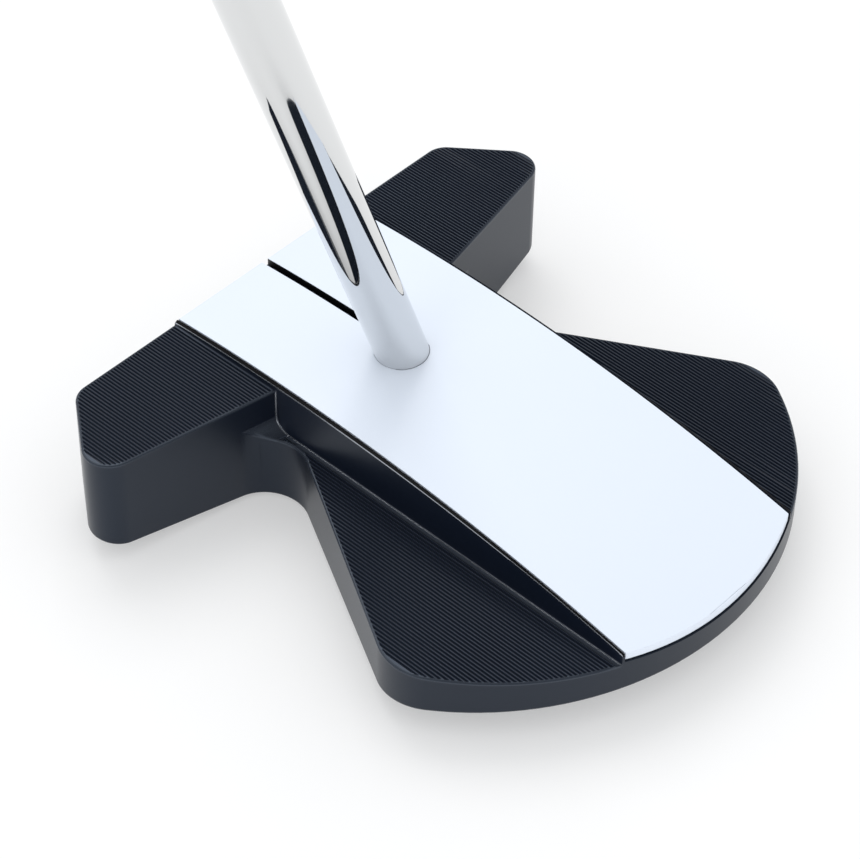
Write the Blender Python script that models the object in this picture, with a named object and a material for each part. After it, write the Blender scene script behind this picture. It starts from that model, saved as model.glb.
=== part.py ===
"""Mallet putter: a milled head with a raised spine, its chrome shaft, its grip and its screw-in sole weights.

The frame is metres, +Z up, -Y towards the target and +X towards the heel, where the player stands.
The origin is the middle of the flat on the sole. Depths are measured behind the face's top edge.
"""

import math

import bmesh
import bpy
from mathutils import Matrix, Vector

MM = 0.001

# Head, seen from above
FACE_TO_ORIGIN = 38.8 * MM
FACE_HALF_LENGTH = 46.5 * MM
WING_TIP_X = 60.15 * MM
WING_TIP_DEPTH = 17.35 * MM
WING_REAR_SLOPE = 0.202
FACE_CORNER_RADIUS = 4.65 * MM
WING_TIP_RADIUS = 4.95 * MM
FAN_LEDGE = 0.45 * MM
FAN_ROOT_DEPTH = 31.36 * MM
FAN_SIDE_ANGLE = math.radians(30.56)
FAN_CENTRE_DEPTH = 53.5 * MM
FAN_RADIUS = 55.0 * MM
FAN_CORNER_RADIUS = 10.3 * MM
WAIST_RADIUS = 7.6 * MM

# Head, seen from the side
WING_TOP = 23.15 * MM
FAN_TOP = 13.55 * MM
FAN_TOP_DEPTH = 65.6 * MM
FAN_TOP_FALL = 0.02
SPINE_RIM = 0.45 * MM
SPINE_CHAMFER = 0.3 * MM
SPINE_PEAK = 24.75 * MM
SPINE_PEAK_DEPTH = 21.3 * MM
SPINE_RADIUS = 360.0 * MM
UPPER_WALL_SET = 0.1 * MM
FACE_LOFT = math.radians(2.0)
SOLE_RADIUS_ACROSS = 445.0 * MM
SOLE_RADIUS_ALONG = 339.0 * MM
SOLE_FLAT_DROP = 0.25 * MM

# Alignment plate
PLATE_HALF_WIDTH = 21.65 * MM
PLATE_THICKNESS = 1.5 * MM
SIGHT_LINE_WIDTH = 1.5 * MM

# Face insert
INSERT_LENGTH = 64.0 * MM
INSERT_HEIGHT = 13.5 * MM
INSERT_THICKNESS = 3.0 * MM
INSERT_MIDDLE = 12.6 * MM
INSERT_CORNER = 5.0 * MM
PAD_THICKNESS = 1.0 * MM
PAD_MARGIN = 1.5 * MM

# Sole cover and the lightening cavity above it
COVER_HALF_WIDTH = 15.0 * MM
COVER_LENGTH = 38.0 * MM
COVER_START = 14.0 * MM
COVER_THICKNESS = 2.0 * MM
COVER_CORNER = 4.0 * MM
CAVITY_HALF_WIDTH = 8.7 * MM
CAVITY_MARGIN = 3.6 * MM
CAVITY_TOP = 14.5 * MM
COVER_SCREW_INSET = 4.2 * MM
SCREW_RADIUS = 1.5 * MM
SCREW_HEAD_RADIUS = 2.9 * MM
SCREW_LENGTH = 8.5 * MM
SCREW_SOCKET_RADIUS = 1.15 * MM
SCREW_SOCKET_DEPTH = 1.0 * MM

# Sole weights: places across and behind the origin, and the stack of one port
FRONT_WEIGHT_X = INSERT_LENGTH / 2.0 + 7.0 * MM
FRONT_WEIGHT_Y = -27.5 * MM
REAR_WEIGHT_X = 32.0 * MM
REAR_WEIGHT_Y = 31.5 * MM
WEIGHT_PLACES = {
    "front_heel": (FRONT_WEIGHT_X, FRONT_WEIGHT_Y),
    "front_toe": (-FRONT_WEIGHT_X, FRONT_WEIGHT_Y),
    "rear_heel": (REAR_WEIGHT_X, REAR_WEIGHT_Y),
    "rear_toe": (-REAR_WEIGHT_X, REAR_WEIGHT_Y),
}
WEIGHT_SINK = 0.8 * MM
WEIGHT_SHANK_RADIUS = 5.0 * MM
WEIGHT_HEAD_RADIUS = WEIGHT_SHANK_RADIUS + 2.0 * MM
WEIGHT_HEAD_HEIGHT = 2.4 * MM
WEIGHT_SHANK_LENGTH = 5.0 * MM
WEIGHT_SOCKET_RADIUS = 2.9 * MM
WEIGHT_SOCKET_DEPTH = 2.6 * MM
WEIGHT_CHAMFER = 0.4 * MM
RING_OUTER_RADIUS = WEIGHT_HEAD_RADIUS - 0.2 * MM
RING_THICKNESS = 1.0 * MM
THREAD_CLEARANCE = 0.2 * MM
BUSHING_OUTER_RADIUS = WEIGHT_SHANK_RADIUS + THREAD_CLEARANCE + 1.2 * MM
BUSHING_LENGTH = 3.6 * MM

# Shaft and grip, along the shaft from where its axis meets the ground
SHAFT_DEPTH = 34.85 * MM
SHAFT_OFFSET = 0.9 * MM
LIE_LEAN = math.radians(20.3)
CLUB_LENGTH = 889.0 * MM
SHAFT_TIP = 8.5 * MM
SHAFT_TIP_RADIUS = 4.7 * MM
SHAFT_NECK = 240.0 * MM
SHAFT_NECK_RADIUS = SHAFT_TIP_RADIUS + 0.1 * MM
SHAFT_BUTT_RUN = 249.0 * MM
SHAFT_BUTT_RADIUS = 7.6 * MM
SHAFT_WALL = 0.5 * MM
SHAFT_BUTT_CLEARANCE = 5.0 * MM
TIP_PLUG_LENGTH = 12.0 * MM
TAPE_THICKNESS = 0.3 * MM
TAPE_MARGIN = 6.0 * MM
GRIP_LENGTH = 266.0 * MM
GRIP_MOUTH_RADIUS = 10.6 * MM
GRIP_HAND_RADIUS = 15.0 * MM
GRIP_FLAT = 0.80
GRIP_FLAT_SHARPNESS = 9.0
CAP_RADIUS = 9.5 * MM
CAP_THICKNESS = 2.2 * MM
CAP_VENT_RADIUS = 1.2 * MM

# Clearances and fineness
GAP = 0.3 * MM
OVERRUN = 30.0 * MM
MERGE = 0.001 * MM
ROUND = 40
ARC_STEP = math.radians(7.5)
SPINE_STATIONS = 26


def clear_scene():
    for old in list(bpy.data.objects):
        bpy.data.objects.remove(old, do_unlink=True)


def material(name, colour, roughness, metallic):
    made = bpy.data.materials.new(name)
    made.use_nodes = True
    shader = made.node_tree.nodes["Principled BSDF"]
    shader.inputs["Base Color"].default_value = (*colour, 1.0)
    shader.inputs["Roughness"].default_value = roughness
    shader.inputs["Metallic"].default_value = metallic
    return made


def make_object(name, bm, finish=None):
    """Turn a bmesh into an object; without a finish it is a cutter, which isn't part of the putter."""
    bmesh.ops.remove_doubles(bm, verts=bm.verts, dist=MERGE)
    bmesh.ops.recalc_face_normals(bm, faces=bm.faces)
    mesh = bpy.data.meshes.new(name)
    bm.to_mesh(mesh)
    bm.free()
    mesh.shade_smooth()
    mesh.set_sharp_from_angle(angle=math.radians(30))
    made = bpy.data.objects.new(name, mesh)
    bpy.context.scene.collection.objects.link(made)
    if finish is None:
        made.hide_render = True
        made.display_type = "WIRE"
    else:
        mesh.materials.append(material(name, *finish))
    return made


def boolean(target, cutter, operation="DIFFERENCE"):
    step = target.modifiers.new(cutter.name, "BOOLEAN")
    step.object = cutter
    step.operation = operation
    step.solver = "EXACT"


# ---------------------------------------------------------------- outlines

def arc(centre, radius, start, end):
    """Points on a circle from one angle to another, both ends included."""
    count = max(2, math.ceil(abs(end - start) / ARC_STEP))
    angles = [start + (end - start) * i / count for i in range(count + 1)]
    return [centre + radius * Vector((math.cos(a), math.sin(a))) for a in angles]


def fillet(before, corner, after, radius):
    """The arc that rounds one corner of an outline, on whichever side the corner turns."""
    to_before = (before - corner).normalized()
    to_after = (after - corner).normalized()
    half = to_before.angle(to_after) / 2.0
    centre = corner + (to_before + to_after).normalized() * radius / math.sin(half)
    foot_before = corner + to_before * radius / math.tan(half)
    foot_after = corner + to_after * radius / math.tan(half)
    start = math.atan2(*(foot_before - centre).yx)
    end = math.atan2(*(foot_after - centre).yx)
    turn = (end - start + math.pi) % math.tau - math.pi
    return arc(centre, radius, start, start + turn)


def crossing(p, p_direction, q, q_direction):
    """Where two straight lines meet."""
    along = (q - p).cross(q_direction) / p_direction.cross(q_direction)
    return p + p_direction * along


def spine_half_width():
    """The spine is as wide as its plate, the gaps beside it and a thin rim."""
    return PLATE_HALF_WIDTH + GAP + SPINE_RIM


def wing_rear_y(x):
    """The wings' rear wall, which falls towards the tips."""
    return WING_TIP_DEPTH - FACE_TO_ORIGIN + WING_REAR_SLOPE * (WING_TIP_X - abs(x))


def half_outline():
    """The heel half of the head from above, from the middle of the face to the middle of the rear."""
    face = -FACE_TO_ORIGIN
    face_middle = Vector((0.0, face))
    face_corner = Vector((FACE_HALF_LENGTH, face))
    wing_tip = Vector((WING_TIP_X, WING_TIP_DEPTH + face))
    wing_rear = Vector((-1.0, WING_REAR_SLOPE)).normalized()
    side = Vector((math.sin(FAN_SIDE_ANGLE), math.cos(FAN_SIDE_ANGLE)))
    fan_root = Vector((spine_half_width() + FAN_LEDGE, FAN_ROOT_DEPTH + face))
    waist = crossing(wing_tip, wing_rear, fan_root, side)

    # The fan's corner is tangent to the straight side and, from inside, to the round rear.
    centre = Vector((0.0, FAN_CENTRE_DEPTH + face))
    inward = Vector((-side.y, side.x))
    offset = fan_root + inward * FAN_CORNER_RADIUS - centre
    reach = FAN_RADIUS - FAN_CORNER_RADIUS
    middle = offset.dot(side)
    along = -middle + math.sqrt(middle ** 2 - offset.length_squared + reach ** 2)
    corner_centre = centre + offset + side * along
    rear_angle = math.atan2(*(corner_centre - centre).yx)
    side_angle = math.atan2(*(-inward).yx)

    points = [face_middle]
    points += fillet(face_middle, face_corner, wing_tip, FACE_CORNER_RADIUS)
    points += fillet(face_corner, wing_tip, waist, WING_TIP_RADIUS)
    points += fillet(wing_tip, waist, waist + side, WAIST_RADIUS)
    points += arc(corner_centre, FAN_CORNER_RADIUS, side_angle, rear_angle)
    points += arc(centre, FAN_RADIUS, rear_angle, math.pi / 2.0)[1:]
    return points


def head_outline():
    heel = half_outline()
    toe = [Vector((-p.x, p.y)) for p in reversed(heel[1:-1])]
    return heel + toe


def rounded_rectangle(half_width, half_height, radius):
    corners = [Vector((sx * half_width, sy * half_height)) for sx, sy in ((1, -1), (1, 1), (-1, 1), (-1, -1))]
    points = []
    for i, corner in enumerate(corners):
        points += fillet(corners[i - 1], corner, corners[(i + 1) % 4], radius)
    return points


# ---------------------------------------------------------------- solids

def prism(name, outline, low, high, finish=None, place=None):
    """An outline extruded upwards; high may be a height or a function of x and y."""
    bm = bmesh.new()
    ring = [bm.verts.new((p.x, p.y, low)) for p in outline]
    base = bm.faces.new(ring)
    lifted = bmesh.ops.extrude_face_region(bm, geom=[base])
    for vert in (v for v in lifted["geom"] if isinstance(v, bmesh.types.BMVert)):
        vert.co.z = high(vert.co.x, vert.co.y) if callable(high) else high
    if place is not None:
        bm.transform(place)
    return make_object(name, bm, finish)


def box_outline(low_x, low_y, high_x, high_y):
    return [Vector(p) for p in ((low_x, low_y), (high_x, low_y), (high_x, high_y), (low_x, high_y))]


def turned(name, profile, finish=None, place=None, ring=False):
    """A profile of radius and height turned about Z; a ring's profile is closed and clear of the axis."""
    bm = bmesh.new()
    verts = [bm.verts.new((radius, 0.0, height)) for radius, height in profile]
    edges = [bm.edges.new(pair) for pair in zip(verts, verts[1:])]
    if ring:
        edges.append(bm.edges.new((verts[-1], verts[0])))
    bmesh.ops.spin(bm, geom=verts + edges, cent=(0, 0, 0), axis=(0, 0, 1),
                   angle=math.tau, steps=ROUND, use_merge=True)
    if place is not None:
        bm.transform(place)
    return make_object(name, bm, finish)


def loft(name, rings, finish=None, closed=False):
    """A skin drawn through rings of equal size; a closed one joins its last ring to its first."""
    bm = bmesh.new()
    verts = [bm.verts.new(point) for point in rings[0]]
    first = [bm.edges.new(pair) for pair in zip(verts, verts[1:] + verts[:1])]
    if not closed:
        bm.faces.new(verts)
    edges = first
    for ring in rings[1:]:
        moved = bmesh.ops.extrude_edge_only(bm, edges=edges)["geom"]
        edges = [g for g in moved if isinstance(g, bmesh.types.BMEdge)]
        fresh = [g for g in moved if isinstance(g, bmesh.types.BMVert)]
        verts = [min(fresh, key=lambda vert: (vert.co - old.co).length_squared) for old in verts]
        for vert, point in zip(verts, ring):
            vert.co = Vector(point)
    if closed:
        bmesh.ops.bridge_loops(bm, edges=edges + first)
    else:
        bm.faces.new(verts)
    return make_object(name, bm, finish)


def sole_height(x, y):
    """The crowned sole, with a flat in its middle."""
    crown = x ** 2 / (2.0 * SOLE_RADIUS_ACROSS) + y ** 2 / (2.0 * SOLE_RADIUS_ALONG)
    return max(0.0, crown - SOLE_FLAT_DROP)


def sole_block(name, lift):
    """Everything below the sole, raised by lift."""
    span = 150.0 * MM
    middle_y = 15.0 * MM
    bm = bmesh.new()
    bmesh.ops.create_grid(bm, x_segments=16, y_segments=18, size=span / 2.0,
                          matrix=Matrix.Translation((0.0, middle_y, 0.0)))
    lowered = bmesh.ops.extrude_face_region(bm, geom=list(bm.faces))
    low = {v for v in lowered["geom"] if isinstance(v, bmesh.types.BMVert)}
    for vert in bm.verts:
        vert.co.z = -OVERRUN if vert in low else sole_height(vert.co.x, vert.co.y) + lift
    return make_object(name, bm)


def spine_top(depth):
    """Height of the spine's long shallow arc at a depth behind the face."""
    return SPINE_PEAK - SPINE_RADIUS + math.sqrt(SPINE_RADIUS ** 2 - (depth - SPINE_PEAK_DEPTH) ** 2)


def spine_rings(section):
    """Copies of a cross-section, a function of the arc's height, from before the face to past the rear."""
    start = -OVERRUN / 10.0
    end = FAN_CENTRE_DEPTH + FAN_RADIUS + OVERRUN / 10.0
    rings = []
    for i in range(SPINE_STATIONS + 1):
        depth = start + (end - start) * i / SPINE_STATIONS
        rings.append([(x, depth - FACE_TO_ORIGIN, z) for x, z in section(spine_top(depth))])
    return rings


def face_frame():
    """Places a shape drawn in X and Y, thick along Z, on the lofted face, looking at the target."""
    hinge = Matrix.Translation((0.0, -FACE_TO_ORIGIN, WING_TOP))
    middle = Matrix.Translation((0.0, 0.0, INSERT_MIDDLE - WING_TOP))
    return hinge @ Matrix.Rotation(-FACE_LOFT, 4, "X") @ middle @ Matrix.Rotation(-math.pi / 2.0, 4, "X")


def shaft_frame():
    """Z runs up the shaft's axis from the point where it meets the ground."""
    entry = Vector((SHAFT_OFFSET, SHAFT_DEPTH - FACE_TO_ORIGIN, spine_top(SHAFT_DEPTH)))
    lean = Matrix.Rotation(LIE_LEAN, 4, "Y")
    return Matrix.Translation(entry) @ lean @ Matrix.Translation((0.0, 0.0, -entry.z / math.cos(LIE_LEAN)))


# ---------------------------------------------------------------- head

def make_head():
    """The billet: floor, wings and spine joined, trimmed to the outline and the sole, then pocketed."""
    far = 90.0 * MM
    front = -FACE_TO_ORIGIN - OVERRUN

    def floor_height(_x, y):
        return FAN_TOP - FAN_TOP_FALL * (y + FACE_TO_ORIGIN - FAN_TOP_DEPTH)

    head = prism("head_body", box_outline(-far, front, far, far), -OVERRUN, floor_height,
                 ((0.022, 0.026, 0.034), 0.42, 0.85))
    inner = spine_half_width() / 2.0
    wing_points = [(-far, front), (far, front)]
    wing_points += [(x, wing_rear_y(x) + UPPER_WALL_SET) for x in (far, inner, -inner, -far)]
    wings = prism("wing_block", [Vector(p) for p in wing_points], -OVERRUN / 2.0, WING_TOP)
    boolean(head, wings, "UNION")

    def ridge(top):
        outer = spine_half_width()
        shoulder = outer - SPINE_CHAMFER
        low = -OVERRUN / 3.0
        return [(-outer, low), (outer, low), (outer, top - SPINE_CHAMFER), (shoulder, top),
                (-shoulder, top), (-outer, top - SPINE_CHAMFER)]

    boolean(head, loft("spine_block", spine_rings(ridge)), "UNION")
    boolean(head, prism("outline_block", head_outline(), -2.0 * OVERRUN, 2.0 * OVERRUN), "INTERSECT")
    boolean(head, face_trim())
    boolean(head, sole_block("under_sole", 0.0))
    boolean(head, plate_recess())
    boolean(head, insert_pocket())
    boolean(head, bored("shaft_bore", SHAFT_TIP_RADIUS + GAP, SHAFT_TIP - GAP))
    cut_cover_pocket(head)
    for place, (x, y) in WEIGHT_PLACES.items():
        boolean(head, weight_port(place + "_port", x, y))
    return head


def face_trim():
    """Leans the face back by its loft, about its top edge."""
    far = 90.0 * MM
    bottom = OVERRUN
    lean = Matrix.Translation((0.0, -FACE_TO_ORIGIN, WING_TOP)) @ Matrix.Rotation(-FACE_LOFT, 4, "X")
    return prism("face_trim", box_outline(-far, -OVERRUN, far, 0.0), -2.0 * bottom, bottom, place=lean)


def plate_recess():
    half = PLATE_HALF_WIDTH + GAP
    depth = PLATE_THICKNESS + GAP
    return loft("plate_recess", spine_rings(
        lambda top: [(-half, top - depth), (half, top - depth), (half, OVERRUN), (-half, OVERRUN)]))


def insert_pocket():
    depth = INSERT_THICKNESS + PAD_THICKNESS + 2.0 * GAP
    outline = rounded_rectangle(INSERT_LENGTH / 2.0 + GAP, INSERT_HEIGHT / 2.0 + GAP, INSERT_CORNER + GAP)
    return prism("insert_pocket", outline, -OVERRUN / 3.0, depth, place=face_frame())


def bored(name, radius, start):
    """A straight bore on the shaft's axis, open upwards."""
    end = 80.0 * MM
    return turned(name, [(0.0, start), (radius, start), (radius, end), (0.0, end)], place=shaft_frame())


def make_plate():
    """The pale plate that fills the spine's top, slotted for the sight line and bored for the shaft."""
    half = PLATE_HALF_WIDTH
    plate = loft("alignment_plate", spine_rings(
        lambda top: [(-half, top - PLATE_THICKNESS), (half, top - PLATE_THICKNESS), (half, top), (-half, top)]),
        ((0.80, 0.88, 0.97), 0.30, 0.0))
    far = 2.0 * spine_half_width()
    front = GAP - FACE_TO_ORIGIN
    centre = Vector((0.0, FAN_CENTRE_DEPTH - FACE_TO_ORIGIN))
    radius = FAN_RADIUS - GAP
    limit = math.acos(far / radius)
    ends = [Vector((-far, front)), Vector((far, front))] + arc(centre, radius, limit, math.pi - limit)
    boolean(plate, prism("plate_ends", ends, -OVERRUN, OVERRUN), "INTERSECT")
    width = SIGHT_LINE_WIDTH / 2.0
    shaft_y = SHAFT_DEPTH - FACE_TO_ORIGIN
    slot = box_outline(-width, -FACE_TO_ORIGIN - OVERRUN, width, shaft_y)
    boolean(plate, prism("sight_line_slot", slot, 0.0, OVERRUN))
    boolean(plate, bored("plate_bore", SHAFT_TIP_RADIUS + GAP, SHAFT_TIP))
    return plate


def make_insert():
    outline = rounded_rectangle(INSERT_LENGTH / 2.0, INSERT_HEIGHT / 2.0, INSERT_CORNER)
    prism("face_insert", outline, 0.0, INSERT_THICKNESS, ((0.50, 0.50, 0.52), 0.35, 1.0), face_frame())
    shrunk = rounded_rectangle(INSERT_LENGTH / 2.0 - PAD_MARGIN, INSERT_HEIGHT / 2.0 - PAD_MARGIN,
                               INSERT_CORNER - PAD_MARGIN)
    low = INSERT_THICKNESS + GAP
    prism("insert_pad", shrunk, low, low + PAD_THICKNESS, ((0.03, 0.03, 0.03), 0.9, 0.0), face_frame())


# ---------------------------------------------------------------- sole cover

def cover_middle():
    return COVER_START + COVER_LENGTH / 2.0


def cover_outline(grow):
    outline = rounded_rectangle(COVER_HALF_WIDTH + grow, COVER_LENGTH / 2.0 + grow, COVER_CORNER + grow)
    return [p + Vector((0.0, cover_middle())) for p in outline]


def cover_screw_places():
    across = COVER_HALF_WIDTH - COVER_SCREW_INSET + SCREW_HEAD_RADIUS / 3.0
    along = COVER_LENGTH / 2.0 - COVER_SCREW_INSET
    return [(sx * across, cover_middle() + sy * along) for sx, sy in ((1, -1), (1, 1), (-1, 1), (-1, -1))]


def cut_cover_pocket(head):
    """A recess for the cover, the cavity above it, and four blind screw holes."""
    seat = prism("cover_seat", cover_outline(GAP), -OVERRUN / 2.0, OVERRUN / 2.0)
    boolean(seat, sole_block("seat_floor", COVER_THICKNESS + GAP), "INTERSECT")
    boolean(head, seat)
    half_length = COVER_LENGTH / 2.0 - CAVITY_MARGIN
    outline = rounded_rectangle(CAVITY_HALF_WIDTH, half_length, COVER_CORNER)
    outline = [p + Vector((0.0, cover_middle())) for p in outline]
    boolean(head, prism("cavity", outline, -OVERRUN / 3.0, CAVITY_TOP))
    for i, (x, y) in enumerate(cover_screw_places()):
        hole = screw_profile(GAP, COVER_THICKNESS / 2.0)
        boolean(head, turned(f"cover_hole_{i + 1}", hole, place=Matrix.Translation((x, y, sole_height(x, y)))))


def screw_profile(grow, head_start):
    """A countersunk screw seen from its head's face upwards, grown all over; head_start lowers its face."""
    cone_top = SCREW_HEAD_RADIUS - SCREW_RADIUS
    return [(0.0, -head_start), (SCREW_HEAD_RADIUS + grow, -head_start), (SCREW_HEAD_RADIUS + grow, 0.2 * MM),
            (SCREW_RADIUS + grow, cone_top + 0.2 * MM), (SCREW_RADIUS + grow, SCREW_LENGTH + grow),
            (0.0, SCREW_LENGTH + grow)]


def make_cover():
    cover = prism("sole_cover", cover_outline(0.0), -OVERRUN / 2.0, OVERRUN / 2.0,
                  ((0.05, 0.055, 0.065), 0.45, 0.85))
    boolean(cover, sole_block("cover_top", COVER_THICKNESS), "INTERSECT")
    boolean(cover, sole_block("cover_bottom", 0.0))
    for i, (x, y) in enumerate(cover_screw_places()):
        place = Matrix.Translation((x, y, sole_height(x, y)))
        boolean(cover, turned(f"cover_through_{i + 1}", screw_profile(GAP, COVER_THICKNESS / 2.0), place=place))
        screw = turned(f"cover_screw_{i + 1}", screw_profile(0.0, -0.1 * MM), ((0.55, 0.55, 0.57), 0.3, 1.0), place)
        socket = hexagon(f"screw_socket_{i + 1}", SCREW_SOCKET_RADIUS, SCREW_SOCKET_DEPTH, place)
        boolean(screw, socket)


def hexagon(name, radius, depth, place):
    """A hexagonal key socket that opens downwards at the place's origin."""
    bm = bmesh.new()
    height = depth + OVERRUN / 10.0
    bmesh.ops.create_cone(bm, cap_ends=True, segments=6, radius1=radius, radius2=radius, depth=height,
                          matrix=place @ Matrix.Translation((0.0, 0.0, depth - height / 2.0)))
    return make_object(name, bm)


# ---------------------------------------------------------------- sole weights

def ring_start():
    return WEIGHT_HEAD_HEIGHT + GAP


def bushing_start():
    return ring_start() + RING_THICKNESS + GAP


def weight_place(x, y):
    """The middle of a weight's outer face, sunk below the sole's crown."""
    return Matrix.Translation((x, y, sole_height(x, y) + WEIGHT_SINK))


def weight_port(name, x, y):
    shoulder = bushing_start()
    end = shoulder + BUSHING_LENGTH + GAP
    top = max(end, WEIGHT_HEAD_HEIGHT + WEIGHT_SHANK_LENGTH + GAP)
    wide = WEIGHT_HEAD_RADIUS + GAP
    middle = BUSHING_OUTER_RADIUS + GAP
    low = -OVERRUN / 3.0
    profile = [(0.0, low), (wide, low), (wide, shoulder), (middle, shoulder), (middle, top), (0.0, top)]
    return turned(name, profile, place=weight_place(x, y))


def make_weight(place_name, x, y):
    place = weight_place(x, y)
    head, shank = WEIGHT_HEAD_RADIUS, WEIGHT_SHANK_RADIUS
    top = WEIGHT_HEAD_HEIGHT + WEIGHT_SHANK_LENGTH
    profile = [(0.0, 0.0), (head - WEIGHT_CHAMFER, 0.0), (head, WEIGHT_CHAMFER), (head, WEIGHT_HEAD_HEIGHT),
               (shank, WEIGHT_HEAD_HEIGHT), (shank, top - WEIGHT_CHAMFER), (shank - WEIGHT_CHAMFER, top), (0.0, top)]
    weight = turned(place_name + "_weight", profile, ((0.42, 0.42, 0.44), 0.28, 1.0))
    boolean(weight, hexagon(place_name + "_socket", WEIGHT_SOCKET_RADIUS, WEIGHT_SOCKET_DEPTH, place))
    weight.location = place.translation

    inner = WEIGHT_SHANK_RADIUS + THREAD_CLEARANCE
    low = ring_start()
    high = low + RING_THICKNESS
    turned(place_name + "_ring", [(inner, low), (RING_OUTER_RADIUS, low), (RING_OUTER_RADIUS, high), (inner, high)],
           ((0.02, 0.02, 0.02), 0.8, 0.0), place, ring=True)
    low = bushing_start() + GAP
    high = low + BUSHING_LENGTH - GAP
    outer = BUSHING_OUTER_RADIUS
    turned(place_name + "_bushing", [(inner, low), (outer, low), (outer, high), (inner, high)],
           ((0.60, 0.58, 0.55), 0.35, 1.0), place, ring=True)


# ---------------------------------------------------------------- shaft and grip

def shaft_radius(s):
    """Outer radius: a nearly parallel tip, a taper, and a parallel butt."""
    if s <= SHAFT_NECK:
        share = (s - SHAFT_TIP) / (SHAFT_NECK - SHAFT_TIP)
        return SHAFT_TIP_RADIUS + share * (SHAFT_NECK_RADIUS - SHAFT_TIP_RADIUS)
    share = min(1.0, (s - SHAFT_NECK) / (CLUB_LENGTH - SHAFT_BUTT_RUN - SHAFT_NECK))
    return SHAFT_NECK_RADIUS + share * (SHAFT_BUTT_RADIUS - SHAFT_NECK_RADIUS)


def make_shaft():
    butt = CLUB_LENGTH - SHAFT_BUTT_CLEARANCE
    stations = [SHAFT_TIP, SHAFT_NECK, CLUB_LENGTH - SHAFT_BUTT_RUN, butt]
    outside = [(shaft_radius(s), s) for s in stations]
    inside = [(radius - SHAFT_WALL, s) for radius, s in reversed(outside)]
    turned("shaft", outside + inside, ((0.80, 0.81, 0.83), 0.06, 1.0), shaft_frame(), ring=True)
    plug = SHAFT_TIP_RADIUS - SHAFT_WALL - GAP
    low = SHAFT_TIP + GAP
    high = low + TIP_PLUG_LENGTH
    turned("tip_plug", [(0.0, low), (plug, low), (plug, high), (0.0, high)], ((0.35, 0.22, 0.12), 0.8, 0.0),
           shaft_frame())


def grip_radius(share):
    """Outer radius of the round side of the grip, from its mouth to its butt."""
    eased = share * share * (3.0 - 2.0 * share)
    return GRIP_MOUTH_RADIUS + (GRIP_HAND_RADIUS - GRIP_MOUTH_RADIUS) * eased


def grip_ring(s, radius, flatten):
    """A round section whose front is drawn in to a flat, by flatten from none to all."""
    flat = radius * GRIP_FLAT
    points = []
    for i in range(ROUND):
        angle = math.tau * i / ROUND
        facing = flatten * max(0.0, -math.cos(angle)) / flat
        reach = ((1.0 / radius) ** GRIP_FLAT_SHARPNESS + facing ** GRIP_FLAT_SHARPNESS) ** (-1 / GRIP_FLAT_SHARPNESS)
        points.append(Vector((reach * math.cos(angle), reach * math.sin(angle), s)))
    return points


def make_grip():
    frame = shaft_frame()
    start = CLUB_LENGTH - GRIP_LENGTH
    bore = SHAFT_BUTT_RADIUS + TAPE_THICKNESS + 2.0 * GAP
    cap_seat = CLUB_LENGTH - CAP_THICKNESS - GAP
    steps = 14
    lip = 1.5 * MM
    rings = [grip_ring(start, GRIP_MOUTH_RADIUS - lip, 0.0)]
    for i in range(steps + 1):
        share = i / steps
        s = start + lip + (GRIP_LENGTH - 4.0 * lip) * share
        rings.append(grip_ring(s, grip_radius(share), min(1.0, 2.5 * share)))
    rings.append(grip_ring(CLUB_LENGTH - lip / 2.0, GRIP_HAND_RADIUS - lip / 4.0, 1.0))
    rings.append(grip_ring(CLUB_LENGTH, GRIP_HAND_RADIUS - lip, 1.0))
    for s, radius in ((CLUB_LENGTH, CAP_RADIUS + GAP), (cap_seat, CAP_RADIUS + GAP), (cap_seat, bore), (start, bore)):
        rings.append(grip_ring(s, radius, 0.0))
    placed = [[frame @ point for point in ring] for ring in rings]
    loft("grip", placed, ((0.03, 0.03, 0.033), 0.75, 0.0), closed=True)

    inner = SHAFT_BUTT_RADIUS + GAP
    outer = inner + TAPE_THICKNESS
    low, high = start + TAPE_MARGIN, CLUB_LENGTH - SHAFT_BUTT_CLEARANCE - TAPE_MARGIN
    turned("grip_tape", [(inner, low), (outer, low), (outer, high), (inner, high)], ((0.75, 0.72, 0.62), 0.8, 0.0),
           frame, ring=True)
    low, high = CLUB_LENGTH - CAP_THICKNESS, CLUB_LENGTH
    turned("grip_cap", [(CAP_VENT_RADIUS, low), (CAP_RADIUS, low), (CAP_RADIUS, high), (CAP_VENT_RADIUS, high)],
           ((0.05, 0.05, 0.055), 0.55, 0.0), frame, ring=True)


def main():
    clear_scene()
    make_head()
    make_plate()
    make_insert()
    make_cover()
    for place_name, (x, y) in WEIGHT_PLACES.items():
        make_weight(place_name, x, y)
    make_shaft()
    make_grip()


main()
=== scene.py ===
"""Mallet putter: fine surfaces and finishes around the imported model.

The frame is metres, +Z up, -Y towards the target and +X towards the heel. The origin is the middle of
the flat on the sole. Depths are measured behind the face's top edge.
"""

import math

import bmesh
import bpy
from bpy.props import FloatProperty, FloatVectorProperty, PointerProperty
from bpy.types import Operator, Panel, PropertyGroup
from mathutils import Matrix, Vector


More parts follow.
